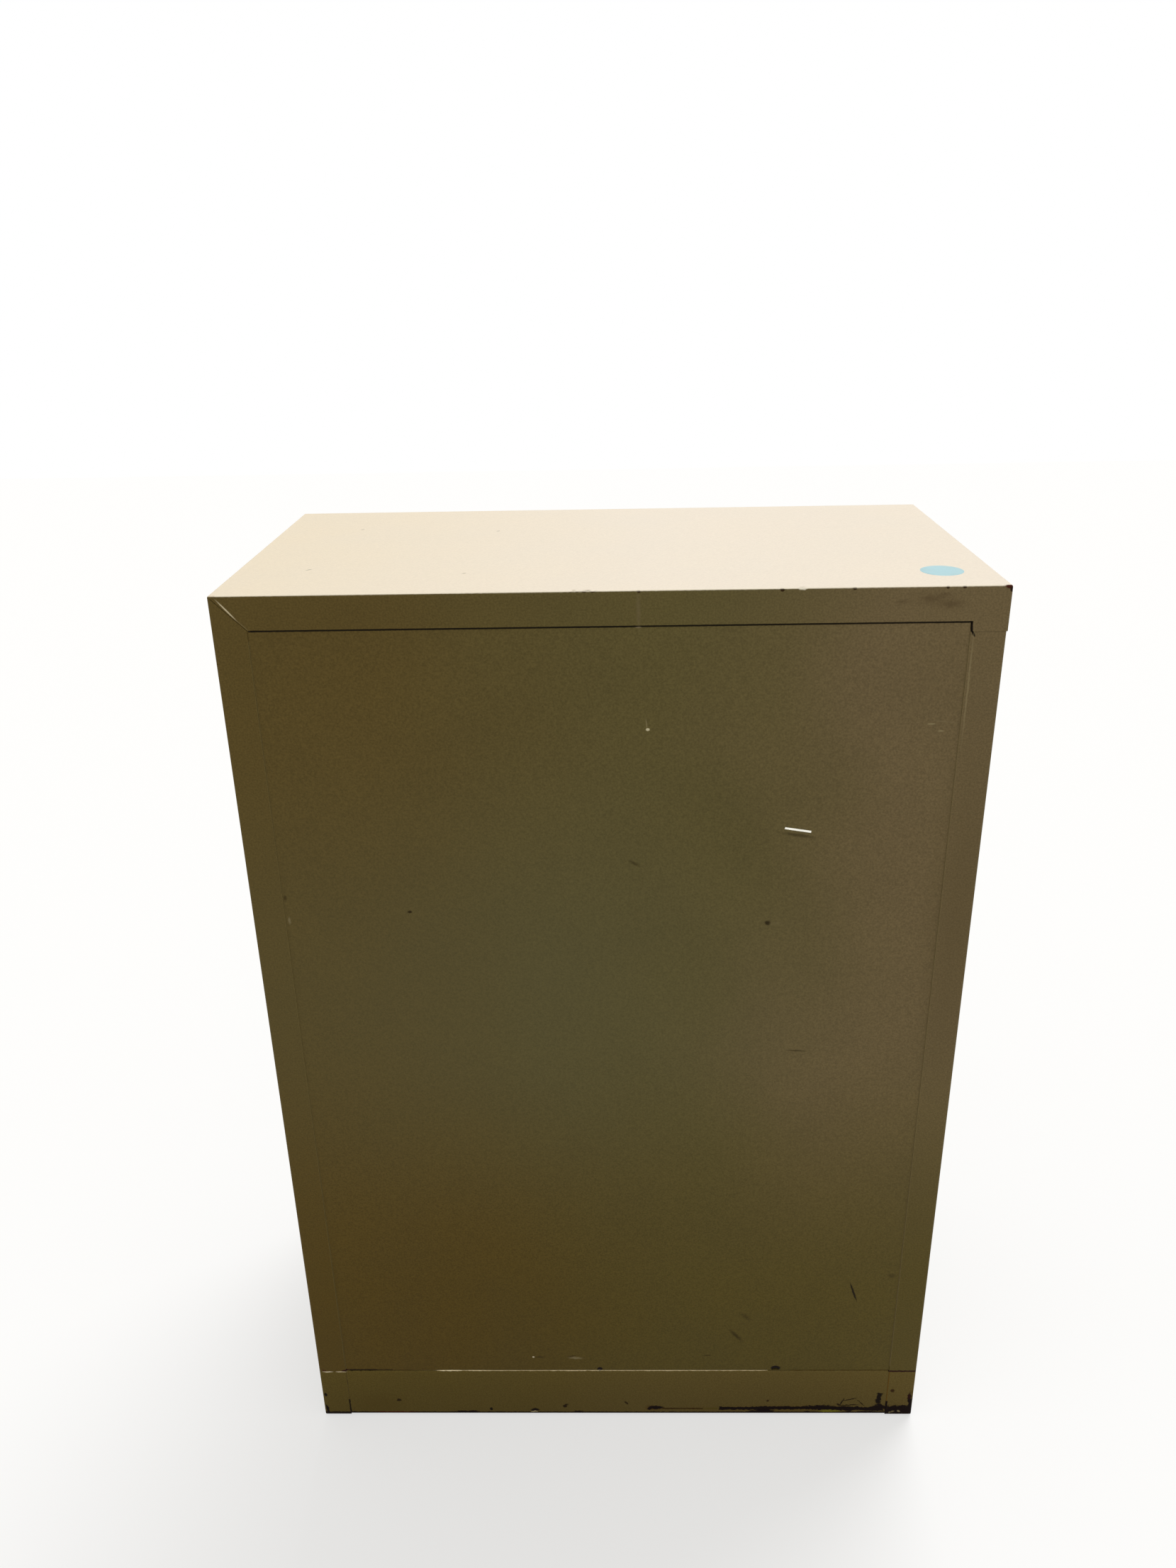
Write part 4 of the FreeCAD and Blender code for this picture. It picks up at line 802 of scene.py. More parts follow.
# Marks along the base, where mops and trolleys hit it
BLACK = "#120502"
RUST = "#5C421B"
OCHRE = "#6B5524"
BASE_BACK = marks(
    Side.BACK,
    (369.8, 29.1, 60, 36, "#5C4A22", 0, 0.3, 0.9, 20),
    (-265.2, 13.9, 237, 15.5, OCHRE, 0, 0.45, 0.7, 12),
    # The black line along the bottom edge: painted contact shade where the base meets the floor,
    # with chipped paint
    (0, 6.2, 914, 5.6, BLACK, 0, 0.95, 0.3, 3, 1),
    # The joints of the corner feet
    (-416.4, 62, 68, 1.6, "#74561F", 90, 0.85, 0.5, 1, 1),
    (-416.9, 16.1, 32, 3.2, BLACK, 90, 1, 0.3, 3, 1),
    (415.9, 62, 66, 1.2, "#6B5A34", 90, 0.5, 0.6, 1, 1),
    (416.2, 18.7, 34, 2.4, "#1E1508", 90, 0.95, 0.4, 2.5, 1),
    # The long scrape to bare rusted steel
    (-58.5, 16.9, 25, 9.5, RUST, 0, 0.8, 0.5, 8),
    (-61.1, 18, 23, 7.6, BLACK, 4, 1, 0.25, 7),
    (-50.9, 15.9, 6, 6, BLACK, 0, 1, 0.3, 5),
    (-102.2, 15.6, 64, 2.6, "#3E2A0C", 0, 0.95, 0.5, 3, 1),
    (-147.5, 16, 26, 2.2, "#5F5420", 0, 0.8, 0.6, 3),
    (-193.2, 16, 68, 6.5, BLACK, 0, 1, 0.25, 6, 1),
    (-224.9, 15.4, 26, 9, BLACK, 0, 1, 0.25, 8),
    (-266, 17, 84, 6.8, BLACK, 0, 1, 0.25, 6, 1),
    (-315.5, 17.9, 38, 10.9, BLACK, -3, 1, 0.25, 8),
    (-332.5, 16.5, 68, 8.1, BLACK, 3, 1, 0.25, 8, 1),
    (-380, 15.3, 66, 8.1, BLACK, 3, 1, 0.25, 8, 1),
    (-401.9, 17.6, 30, 12.9, BLACK, -8, 1, 0.25, 12),
    (-410.1, 20.6, 19, 6.7, BLACK, 39, 1, 0.3, 8),
    # Ragged patches below it, with old yellow paint between
    (-218.9, 8.8, 51, 7.3, BLACK, -6, 1, 0.25, 9),
    (-233.6, 11.9, 22, 6.5, BLACK, 19, 1, 0.3, 8),
    (-295.9, 7.7, 10, 6, BLACK, 0, 1, 0.3, 5),
    (-329.6, 10.3, 30, 4.8, "#85812A", 0, 0.85, 0.5, 6),
    (-358.5, 8.2, 11, 5.2, BLACK, -27, 0.95, 0.3, 5),
    (-388.1, 6.8, 34, 6.6, BLACK, 0, 1, 0.3, 6),
    (-316.4, 5.6, 51, 3.2, BLACK, 0, 0.95, 0.3, 4),
    # Curled scratches and the square chip beside the foot
    (-348.4, 29.8, 14, 2.6, "#1A1207", -63, 0.95, 0.35, 6),
    (-359.8, 35.1, 22, 2.3, "#2A1D0B", -14, 0.95, 0.4, 6),
    (-359.8, 23.2, 30, 2.3, "#2A1D0B", -4, 0.9, 0.4, 6),
    (-377.1, 27.8, 17, 2, "#2A1D0B", 50, 0.9, 0.4, 6),
    (-343.8, 23.7, 8, 3.6, "#2A1D0B", 27, 0.95, 0.4, 6),
    (-404.4, 38.1, 22, 8, "#170E06", -87, 1, 0.25, 7, 1),
    (-424.1, 53.9, 5.6, 6.4, "#3B2611", 0, 0.95, 0.5, 4),
    (-233.9, 32.2, 4.4, 4.7, "#3B2611", 0, 0.85, 0.5, 3),
    # The corner that is worn to black
    (-437.5, 9.7, 41, 24.4, BLACK, 0, 1, 0.2, 14, 1),
    (-453, 25.8, 46, 7, BLACK, 88, 1, 0.3, 10),
    (-441.8, 17.4, 19, 9.8, BLACK, -30, 1, 0.3, 10),
    (-451.5, 42, 13, 5, "#2C0F0A", 90, 0.9, 0.4, 6),
    (-428, 9.2, 6.2, 3.5, "#7D7150", -27, 0.95, 0.4, 5),
    (-436.8, 10.1, 5.1, 4.1, "#8A7F5F", 14, 0.95, 0.4, 5),
    (-423.5, 7.6, 3.4, 3, "#8A7F5F", 0, 0.9, 0.4, 4),
    # Small chips towards the other end
    (452.3, 45.6, 4.4, 7.1, "#120C05", 0, 1, 0.4, 3),
    (452, 14.1, 20, 4.4, BLACK, 77, 1, 0.35, 5),
    (339.1, 33.8, 7.2, 5, "#2A1D0C", 0, 0.95, 0.4, 5),
    (195.1, 14.7, 5.2, 5.8, "#180F07", 0, 1, 0.4, 4),
    (127.4, 13, 12.6, 5.8, "#180F07", -6, 1, 0.35, 6),
    (128.4, 9.2, 9.4, 2.6, "#C3B592", 0, 0.9, 0.5, 4),
    (79.8, 21.5, 9, 5, "#241606", -52, 0.95, 0.4, 6),
    (-14.9, 27.7, 8.4, 3, "#2C1F0C", 50, 0.9, 0.4, 4),
    (234.9, 8, 37, 6.1, BLACK, -3, 1, 0.3, 7),
    (59.8, 8.2, 13, 5.6, BLACK, 0, 1, 0.3, 5),
    (385.1, 5.7, 138, 3.8, BLACK, -1, 0.95, 0.35, 4),
    (348.4, 8, 64, 2.4, "#5A2A1A", 0, 0.7, 0.5, 4),
)
# A black line along the foot of the other sides: painted contact shade where the base meets the
# floor, and the marks that mops leave
FOOT_LINES = tuple(
    Mark(side, 0, 4.6, wide, 4.4, BLACK, 0, 0.85, 0.4, 3, 1)
    for side, wide in ((Side.FRONT, 914), (Side.RIGHT, 488), (Side.LEFT, 488))
)
# Kicks and mop lines on the other sides
BASE_FRONT = marks(
    Side.FRONT,
    (-150, 45, 80, 5.5, "#1D1409", 3, 0.75, 0.7, 8),
    (-58, 62, 36, 3, "#2A1D0C", -14, 0.8, 0.5, 6),
    (242, 31, 112, 5, "#1D1409", -2, 0.8, 0.6, 8),
    (332, 71, 7, 5, PRIMER, 0, 0.95, 0.35, 4),
    (-438, 9, 30, 12, BLACK, 20, 0.95, 0.3, 10),
)
BASE_RIGHT = marks(
    Side.RIGHT,
    (-40, 38, 90, 4, "#1D1409", 4, 0.7, 0.6, 8),
    (-226, 12, 20, 9, BLACK, -24, 0.95, 0.3, 8),
)
BASE_LEFT = marks(
    Side.LEFT,
    (90, 22, 120, 4, "#1D1409", -2, 0.7, 0.6, 8),
    (-130, 66, 8, 5, PRIMER, 12, 0.95, 0.35, 4),
)


class Finishes(Enum):
    """The finishes that the cabinet is made in."""

    # The case's top is made pale with painted light from above
    CASE = BakedEnamel(
        "stoved_putty_enamel_case", 0.48, lit_top="#EBDEC7", wear_from=0.60, grime=0.2,
        gloss=0.08, marks=CASE_BACK + CASE_TOP + SEAM + CASE_RIGHT + CASE_LEFT + CASE_FRONT,
    )
    BASE = BakedEnamel(
        "stoved_putty_enamel_base", 0.52, "#6F6032", "#74653A", "#77663F",
        low_shade_tint=WHITE[:3], wear=0.8, grime=0.3, gloss=0.04,
        marks=BASE_BACK + FOOT_LINES + BASE_FRONT + BASE_RIGHT + BASE_LEFT + SEAM,
    )
    DRAWER = BakedEnamel(
        "stoved_putty_enamel_drawer", 0.44, "#695930", "#6B5E36", "#6F6140",
        wear_from=0.58, grime=0.2, marks=DRAWER_FRONT,
    )
    TRAY = BakedEnamel(
        "stoved_putty_enamel_tray", 0.55, "#6E6140", "#6E6745", "#736850", wear=0.3, grime=0.0
    )
    GALVANISED = ZincSteel("galvanised_steel_frame", 0.42)
    SLIDE_ZINC = ZincSteel("zinc_plated_rolled_steel", 0.34, "#B9BABB", "#8D8E90", line_mm=0.9)
    LOCK_ZINC = ZincSteel("dull_zinc_pressed_steel", 0.46, "#9C9B95", "#77766F", crystal_mm=2.0)
    GLIDE_ZINC = ZincSteel("zinc_plated_turned_steel", 0.38, "#A7A6A2", "#6F6C66", crystal_mm=1.5)
    ANODISED = BrushedAluminium("satin_anodised_aluminium", 0.34)
    ANODISED_PRESSED = BrushedAluminium(
        "satin_anodised_aluminium_pressing", 0.3, "#CDCBC6", line_mm=0.5
    )
    MILL_ALUMINIUM = BrushedAluminium("mill_finish_aluminium", 0.42, "#B4B5B6", "#8A8A88", 1.1)
    CHROME = ChromePlate("bright_chrome_plate")
    BLACK_LACQUER = MouldedOrCoated(
        "black_lacquered_iron", 0.5, "#1D1C1A", grain_mm=3.0, relief_mm=0.12
    )
    BLACK_ABS = MouldedOrCoated("moulded_charcoal_abs", 0.48, "#2C2B28", dusty=0.25)
    RUBBER = MouldedOrCoated("moulded_black_rubber", 0.8, "#191817", "#4A463E", gloss=0.35)
    CARD = MouldedOrCoated("yellowed_card", 0.85, "#D9CFAE", "#C4B587", 0.7, 0.6, 0.02, 0.2)
    BLUE_VINYL = MouldedOrCoated(
        "pale_blue_vinyl_film", 0.42, "#A5D0D9", "#A9C3C3", 0.45, grain_mm=1.5, relief_mm=0.02
    )

    def material(self) -> bpy.types.Material:
        """The finish's material."""
        return self.value.material()


# --------------------------------------------------------------------------------- meshes


def new_object(name: str, shape: bmesh.types.BMesh, smooth_below: float = 35.0) -> Piece:
    """Turns a finished mesh into an object in the scene.

    Args:
        name: The piece's name.
        shape: The mesh, which is freed.
        smooth_below: Edges that bend by fewer degrees than this are shaded smooth.

    Returns:
        The object, at the origin.
    """
    bmesh.ops.recalc_face_normals(shape, faces=shape.faces)
    for face in shape.faces:
        face.smooth = True
    limit = math.radians(smooth_below)
    for edge in shape.edges:
        edge.smooth = len(edge.link_faces) == 2 and edge.calc_face_angle() < limit
    mesh = bpy.data.meshes.new(name)
    shape.to_mesh(mesh)
    shape.free()
    made = bpy.data.objects.new(name, mesh)
    bpy.context.scene.collection.objects.link(made)
    return made


def finish_piece(piece: Piece, finish: Finishes, body: str, slot: str) -> Piece:
    """Gives a piece its finish and the body that it moves with.

    Args:
        piece: The piece, in place.
        finish: Its finish.
        body: The body that it rides on.
        slot: The record's material slot nearest to its finish; not used.

    Returns:
        The same piece.
    """
    piece.data.materials.clear()
    piece.data.materials.append(finish.material())
    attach(piece, body)
    LOG.info("piece %s on %s", piece.name, body)
    return piece


def dress_nodes(finish: Finishes, *nodes: str) -> None:
    """Gives CAD nodes a finish in place of their plain one.

    Args:
        finish: The finish.
        *nodes: The nodes' names.
    """
    for node in nodes:
        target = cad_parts[node]
        target.data.materials.clear()
        target.data.materials.append(finish.material())
        LOG.info("node %s in %s", node, finish.value.name)


def turned(
    profile: Sequence[tuple[float, float]],
    segments: int,
    moved: Callable[[float, float, float], tuple[float, float]] | None = None,
) -> bmesh.types.BMesh:
    """Turns a profile about Z, closed where it meets the axis.

    Args:
        profile: Radius and height of each ring, from the bottom's middle to the top's middle,
            or all the way round for a ring-shaped piece.
        segments: The number of points round each ring.
        moved: Gives a point its own radius and height, from its radius, angle and height.

    Returns:
        The closed mesh.
    """
    shape = bmesh.new()
    rings = []
    for radius, height in profile:
        ring = []
        for i in range(segments if radius > 0 else 1):
            angle = 2 * math.pi * i / segments
            reach, level = moved(radius, angle, height) if moved else (radius, height)
            ring.append(shape.verts.new((reach * math.cos(angle), reach * math.sin(angle), level)))
        rings.append(ring)
    pairs = list(zip(rings, rings[1:]))
    if len(rings[0]) > 1:
        pairs.append((rings[-1], rings[0]))
    for low, high in pairs:
        for i in range(segments):
            j = i + 1
            corners = [low[i % len(low)], low[j % len(low)]]
            corners += [high[j % len(high)], high[i % len(high)]]
            unique = list(dict.fromkeys(corners))
            if len(unique) > 2:
                shape.faces.new(unique)
    return shape


@dataclass(frozen=True)
class SmallPart:
    """A turned fastener or foot whose axis is Z, with its seat at height 0."""

    radius: float
    height: float
    segments: int = 20
    crossed: bool = False
    domed: float = 0.5
    arm_reach: float = 0.62
    arm_width: float = 0.45
    arm_depth: float = 0.55

    def mesh(self) -> bmesh.types.BMesh:
        """Turns the part: a domed head, with a cross recess if it is a screw.

        Returns:
            The closed mesh.
        """
        r, h = self.radius, self.height
        rim = h * (1 - self.domed)
        # The foot in the sheet, the seat's edge, the rim and then the dome
        profile = [(0.0, -0.1 * h), (r * 0.96, -0.1 * h), (r, 0.08 * h), (r, rim)]
        for step in range(1, 4):
            angle = QUARTER_TURN * step / 4
            profile.append((r * math.cos(angle) ** 0.8, rim + (h - rim) * math.sin(angle)))
        profile += [(r * 0.2, h), (0.0, h)]

        def sunk(radius: float, angle: float, height: float) -> tuple[float, float]:
            """Lowers the points inside the cross recess."""
            in_arm = abs(math.sin(2 * angle)) < self.arm_width and radius < r * self.arm_reach
            deep = self.crossed and height > rim and (in_arm or radius < r * 0.25)
            return radius, height - self.arm_depth * h if deep else height

        return turned(profile, self.segments, sunk)


@dataclass(frozen=True)
class HexNut:
    """A hexagon nut with chamfered corners and a round bore."""

    flats: float = 0.016
    bore: float = 0.0052
    height: float = 0.006
    chamfer: float = 0.0009
    face_share: float = 0.93

    def mesh(self) -> bmesh.types.BMesh:
        """Turns the nut round its bore.

        Returns:
            The closed mesh.
        """
        half, bore, top = self.flats / 2, self.bore, self.height
        face = half * self.face_share
        profile = [(bore, 0.0), (face, 0.0), (half, self.chamfer)]
        profile += [(half, top - self.chamfer), (face, top), (bore, top)]
        sixth = math.pi / 3

        def cornered(radius: float, angle: float, height: float) -> tuple[float, float]:
            """Draws the points outside the bore out to the hexagon."""
            corner = 1 / math.cos((angle + sixth / 2) % sixth - sixth / 2)
            return radius * (1.0 if radius == bore else corner), height

        return turned(profile, 36, cornered)


class RowTree:
    """The Geometry Nodes tree that sets one small part out in rows."""

    SOCKETS = {
        "Count": "Int", "Start": "Vector", "Step": "Vector", "Rows": "Int", "Row Step": "Vector",
        "Turn": "Vector", "Seed": "Int", "Both Sides": "Bool", "Finish": "Material",
    }

    def __init__(self) -> None:
        """Builds the tree."""
        self.tree = bpy.data.node_groups.new("rows_of_parts", "GeometryNodeTree")
        add, new_socket = partial(add_node, self.tree), self.tree.interface.new_socket
        new_socket("Part", in_out="INPUT", socket_type="NodeSocketGeometry")
        self.identifiers = {
            name: new_socket(name, in_out="INPUT", socket_type=f"NodeSocket{kind}").identifier
            for name, kind in self.SOCKETS.items()
        }
        new_socket("Parts", in_out="OUTPUT", socket_type="NodeSocketGeometry")
        given = add("NodeGroupInput").outputs
        along = {"Count": given["Count"], "Start Location": given["Start"], "Offset": given["Step"]}
        line = add("GeometryNodeMeshLine", along, mode="OFFSET")
        beside = {"Count": given["Rows"], "Offset": given["Row Step"]}
        rows = add("GeometryNodeMeshLine", beside, mode="OFFSET")
        lines = add("GeometryNodeInstanceOnPoints", {"Points": rows, "Instance": line})
        points = add("GeometryNodeRealizeInstances", [lines])
        # Each part is turned about its own axis by a fixed but different amount
        spread = {"Min": 0.0, "Max": 2 * math.pi, "Seed": given["Seed"]}
        spin = add("FunctionNodeRandomValue", spread, data_type="FLOAT")
        own_turn = add("FunctionNodeEulerToRotation", [add("CombineXYZ", {"Z": spin})])
        seat_turn = add("FunctionNodeEulerToRotation", [given["Turn"]])
        turn = add("FunctionNodeRotateRotation", [seat_turn, own_turn], rotation_space="LOCAL")
        placed = {"Points": points, "Instance": given["Part"], "Rotation": turn}
        parts = add("GeometryNodeInstanceOnPoints", placed)
        solid = add("GeometryNodeRealizeInstances", [parts])
        other = add("GeometryNodeTransform", {"Geometry": solid, "Scale": (-1.0, 1.0, 1.0)})
        both = add("GeometryNodeJoinGeometry", [solid])
        self.tree.links.new(other.outputs[0], both.inputs[0])
        choice = [given["Both Sides"], solid, both]
        chosen = add("GeometryNodeSwitch", choice, input_type="GEOMETRY")
        whole = add("GeometryNodeRealizeInstances", [chosen])
        coat = {"Geometry": whole, "Material": given["Finish"]}
        add("NodeGroupOutput", [add("GeometryNodeSetMaterial", coat)])

    def lay(
        self, name: str, part: SmallPart | HexNut, finish: Finishes, body: str, slot: str,
        **values: object,
    ) -> Piece:
        """Sets a small part out in rows and makes the result one plain mesh.

        Args:
            name: The new piece's name.
            part: The small part.
            finish: Its finish.
            body: The body that the piece rides on.
            slot: The record's material slot.
            **values: The tree's inputs, with _ for a space.

        Returns:
            The piece.
        """
        sample = new_object(f"{name}_sample", part.mesh())
        modifier = sample.modifiers.new("rows", "NODES")
        modifier.node_group = self.tree
        settings = {"count": 1, "rows": 1, "seed": 7, "finish": finish.material(), **values}
        for socket, identifier in self.identifiers.items():
            key = socket.lower().replace(" ", "_")
            if key in settings:
                modifier[identifier] = settings[key]
        graph = bpy.context.evaluated_depsgraph_get()
        mesh = bpy.data.meshes.new_from_object(
            sample.evaluated_get(graph), preserve_all_data_layers=True, depsgraph=graph
        )
        bpy.data.objects.remove(sample)
        shape = bmesh.new()
        shape.from_mesh(mesh)
        bpy.data.meshes.remove(mesh)
        return finish_piece(new_object(name, shape), finish, body, slot)


# --------------------------------------------------------------------------------- the cabinet


@dataclass
class Shell:
    """The folded shell, its side, back and bottom, and the sticker on its top."""

    sticker_at: tuple[float, float] = (-0.3960, 0.1726)
    sticker_radius: float = 0.0252
    sticker_thickness: float = 0.00008

    def dress(self) -> None:
        """Paints the sheets and galvanises the frame inside them."""
        dress_nodes(
            Finishes.CASE, "case_wrapper", "left_side_panel", "back_panel", "case_bottom"
        )
        dress_nodes(
            Finishes.GALVANISED, "top_stiffener", "upright_front_right", "upright_front_left",
            "uprights_back", "cross_rails",
        )

    def build_sticker(self) -> Piece:
        """Lays the round film flat on the top.

        Returns:
            The sticker.
        """
        r, t = self.sticker_radius, self.sticker_thickness
        profile = [(0.0, 0.0), (r * 0.7, 0.0), (r - t, 0.0), (r, t * 0.5), (r - t, t)]
        profile += [(r * 0.7, t), (r * 0.35, t), (0.0, t)]
        shape = turned(profile, 72)
        bmesh.ops.translate(shape, vec=(*self.sticker_at, TOP_FACE), verts=shape.verts)
        piece = new_object("round_sticker", shape)
        return finish_piece(piece, Finishes.BLUE_VINYL, "case", "case_enamel")


@dataclass
class BaseFrame:
    """The base: rails, feet, glides with their nuts, and the ballast bar."""

    glide_at: tuple[float, float] = (0.4362, 0.223475)
    foot_plate_top: float = 0.0056

    def dress(self) -> None:
        """Paints the base and gives the glides and the ballast their finishes."""
        dress_nodes(
            Finishes.BASE, "base_back_rail", "base_front_rail", "base_side_rails", "corner_feet"
        )
        dress_nodes(Finishes.GLIDE_ZINC, "levelling_glides")
        dress_nodes(Finishes.BLACK_LACQUER, "ballast_bar")

    def build_nuts(self, rows: RowTree) -> Piece:
        """Sets a lock nut on each glide's stem.

        Args:
            rows: The tree that repeats the nut.

        Returns:
            The four nuts as one piece.
        """
        x, y = self.glide_at
        return rows.lay(
            "glide_lock_nuts", HexNut(), Finishes.GLIDE_ZINC, "case", "glide_steel", count=2,
            start=(x, -y, self.foot_plate_top), step=(0.0, 2 * y, 0.0), both_sides=True,
        )


@dataclass
class Drawer:
    """One drawer: front, liner, pull, label holder, tray, rails and its slide members."""

    number: int
    tray_half: float = 0.415
    sheet: float = 0.0009
    front_back: float = -0.224475
    front_half: float = 0.4336
    pull_low: float = 0.2662
    pull_tall: float = 0.026
    pull_wall: float = 0.002
    pull_lip: float = 0.010
    pull_brow: float = 0.006
    cap_play: float = 0.00015
    slide_level: float = 0.050
    slide_face: float = 0.434
    inner_web: float = 0.0174
    middle_web: float = 0.004
    rivets_from: float = -0.196
    rivet_pitch: float = 0.097
    carriage_rivets_from: float = -0.206
    carriage_rivet_pitch: float = 0.122
    carriage_half: float = 0.008
    screws_at: tuple[float, float] = (-0.366, 0.062)
    screw_pitch: tuple[float, float] = (0.244, 0.136)
    screw_seed: int = 11
    buffer_at: tuple[float, float] = (0.300, 0.0062)
    holder_border: float = 0.0045
    card_lap: float = 0.0016
    card_drop: float = 0.0012
    card_gap: float = 0.00005
    card_thickness: float = 0.0003
    card_bow: float = 0.0003
    card_grid: tuple[int, int] = (24, 6)
    floor: float = field(init=False)
    body: str = field(init=False)

    def __post_init__(self) -> None:
        """Works out the drawer's level and its body's name."""
        self.floor = DRAWER_FLOORS[self.number]
        self.body = f"drawer_{self.number}"

    def dress(self) -> None:
        """Gives the drawer's nodes and its slides their finishes."""
        body, number = self.body, self.number
        dress_nodes(Finishes.DRAWER, f"{body}_front", f"{body}_liner")
        dress_nodes(Finishes.ANODISED, f"{body}_pull")
        dress_nodes(Finishes.ANODISED_PRESSED, f"{body}_label_holder")
        dress_nodes(Finishes.TRAY, f"{body}_box")
        dress_nodes(Finishes.MILL_ALUMINIUM, f"{body}_folder_rails")
        slides = (f"{body}_slide", f"slide_middle_{number}", f"slide_outer_{number}")
        dress_nodes(Finishes.SLIDE_ZINC, f"{body}_catch", *slides)

    def build_fasteners(self, rows: RowTree) -> None:
        """Rivets the slides, screws the tray to the front, and lays buffers where a rail is.

        Args:
            rows: The tree that repeats the fasteners.
        """
        body, level = self.body, self.floor + self.slide_level
        steel = (Finishes.SLIDE_ZINC, body, "slide_steel")
        inwards, outwards = (0.0, -QUARTER_TURN, 0.0), (0.0, QUARTER_TURN, 0.0)
        backwards = (-QUARTER_TURN, 0.0, 0.0)
        five = {"count": 5, "step": (0.0, self.rivet_pitch, 0.0), "both_sides": True}
        rows.lay(
            f"{body}_slide_rivets", SmallPart(0.0042, 0.0016, domed=0.8), *steel,
            start=(self.tray_half - self.sheet, self.rivets_from, level), turn=inwards, **five,
        )
        (x, z), (across, up) = self.screws_at, self.screw_pitch
        rows.lay(
            f"{body}_front_screws", SmallPart(0.0041, 0.0024, 24, crossed=True), *steel,
            count=4, rows=2, start=(x, self.front_back + self.sheet, self.floor + z),
            step=(across, 0.0, 0.0), row_step=(0.0, 0.0, up), turn=backwards,
            seed=self.screw_seed + self.number,
        )
        # The same rivets' closed heads, inside the channel of the member on the tray
        rows.lay(
            f"{body}_slide_rivet_heads", SmallPart(0.0036, 0.0013, 16, domed=0.6), *steel,
            start=(self.slide_face - self.inner_web, self.rivets_from, level), turn=outwards,
            **five,
        )
        carriage = f"slide_carriage_{self.number}"
        low, from_y = level - self.carriage_half, self.carriage_rivets_from
        rows.lay(
            f"{carriage}_rivets", SmallPart(0.0030, 0.0010, 16, domed=0.7),
            Finishes.SLIDE_ZINC, carriage, "slide_steel", count=4, rows=2,
            start=(self.slide_face - self.middle_web, from_y, low),
            step=(0.0, self.carriage_rivet_pitch, 0.0),
            row_step=(0.0, 0.0, 2 * self.carriage_half), turn=outwards, both_sides=True,
        )
        if self.number < len(DRAWER_FLOORS):
            x, z = self.buffer_at
            rows.lay(
                f"{body}_rubber_buffers", SmallPart(0.0028, 0.0050, 16, domed=0.35),
                Finishes.RUBBER, body, "drawer_enamel",
                start=(x, self.front_back, self.floor + z), turn=backwards, both_sides=True,
            )

    def build_card(self) -> Piece:
        """Slips a blank card, bowed a little, into the label holder.

        Returns:
            The card.
        """
        low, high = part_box(f"{self.body}_label_holder")
        half = (high[0] - low[0]) / 2 - self.holder_border + self.card_lap
        bottom = low[2] + self.holder_border - self.card_lap
        top = high[2] - self.card_drop
        shape = bmesh.new()
        columns, rows = self.card_grid
        levels = [bottom + (top - bottom) * j / rows for j in range(rows + 1)]
        sheets = []
        for lift in (self.card_gap, self.card_gap + self.card_thickness):
            sheet = []
            for i in range(columns + 1):
                share = 2 * i / columns - 1
                y = FRONT_FACE - (lift + self.card_bow * (1 - share * share))
                sheet.append([shape.verts.new((half * share, y, z)) for z in levels])
            sheets.append(sheet)
        for sheet in sheets:
            for left, right in zip(sheet, sheet[1:]):
                for j in range(rows):
                    shape.faces.new((left[j], right[j], right[j + 1], left[j + 1]))
        back, front = sheets
        rim = [(i, 0) for i in range(columns)] + [(columns, j) for j in range(rows)]
        rim += [(i, rows) for i in range(columns, 0, -1)] + [(0, j) for j in range(rows, 0, -1)]
        for (i, j), (k, m) in zip(rim, rim[1:] + rim[:1]):
            shape.faces.new((back[i][j], back[k][m], front[k][m], front[i][j]))
        piece = new_object(f"{self.body}_blank_card", shape)
        return finish_piece(piece, Finishes.CARD, self.body, "label_holder_aluminium")

    def build_end_caps(self) -> Piece:
        """Closes both ends of the pull with a moulded cap that sits inside the extrusion.

        Returns:
            Both caps as one piece.
        """
        inset = self.pull_wall + self.cap_play
        low = self.floor + self.pull_low
        front, back = FRONT_FACE + inset, self.front_back - inset
        top, foot, wall = low + self.pull_tall - inset, low + inset, low + self.pull_wall
        # y and z round the cap, clear of the extrusion's bends
        outline = [
            (front, foot), (back - 0.0055, foot), (back - 0.0016, wall + 0.0018),
            (back, wall + 0.0062), (back, top), (back - self.pull_brow - 0.001, top),
            (front + 0.0012, low + self.pull_lip + 0.0012), (front, low + self.pull_lip - 0.0006),
        ]
        shape = bmesh.new()
        for side in (1, -1):
            inner, outer = self.front_half - 0.0026, self.front_half - 0.0003
            ends = [[shape.verts.new((side * x, y, z)) for y, z in outline] for x in (inner, outer)]
            for end in ends:
                shape.faces.new(end)
            for i, j in enumerate([*range(1, len(outline)), 0]):
                shape.faces.new((ends[0][i], ends[0][j], ends[1][j], ends[1][i]))
        bmesh.ops.recalc_face_normals(shape, faces=shape.faces)
        rounding = {"offset": 0.0004, "segments": 2, "affect": "EDGES", "clamp_overlap": True}
        bmesh.ops.bevel(shape, geom=shape.edges[:], **rounding)
        piece = new_object(f"{self.body}_pull_end_caps", shape)
        return finish_piece(piece, Finishes.BLACK_ABS, self.body, "pull_aluminium")


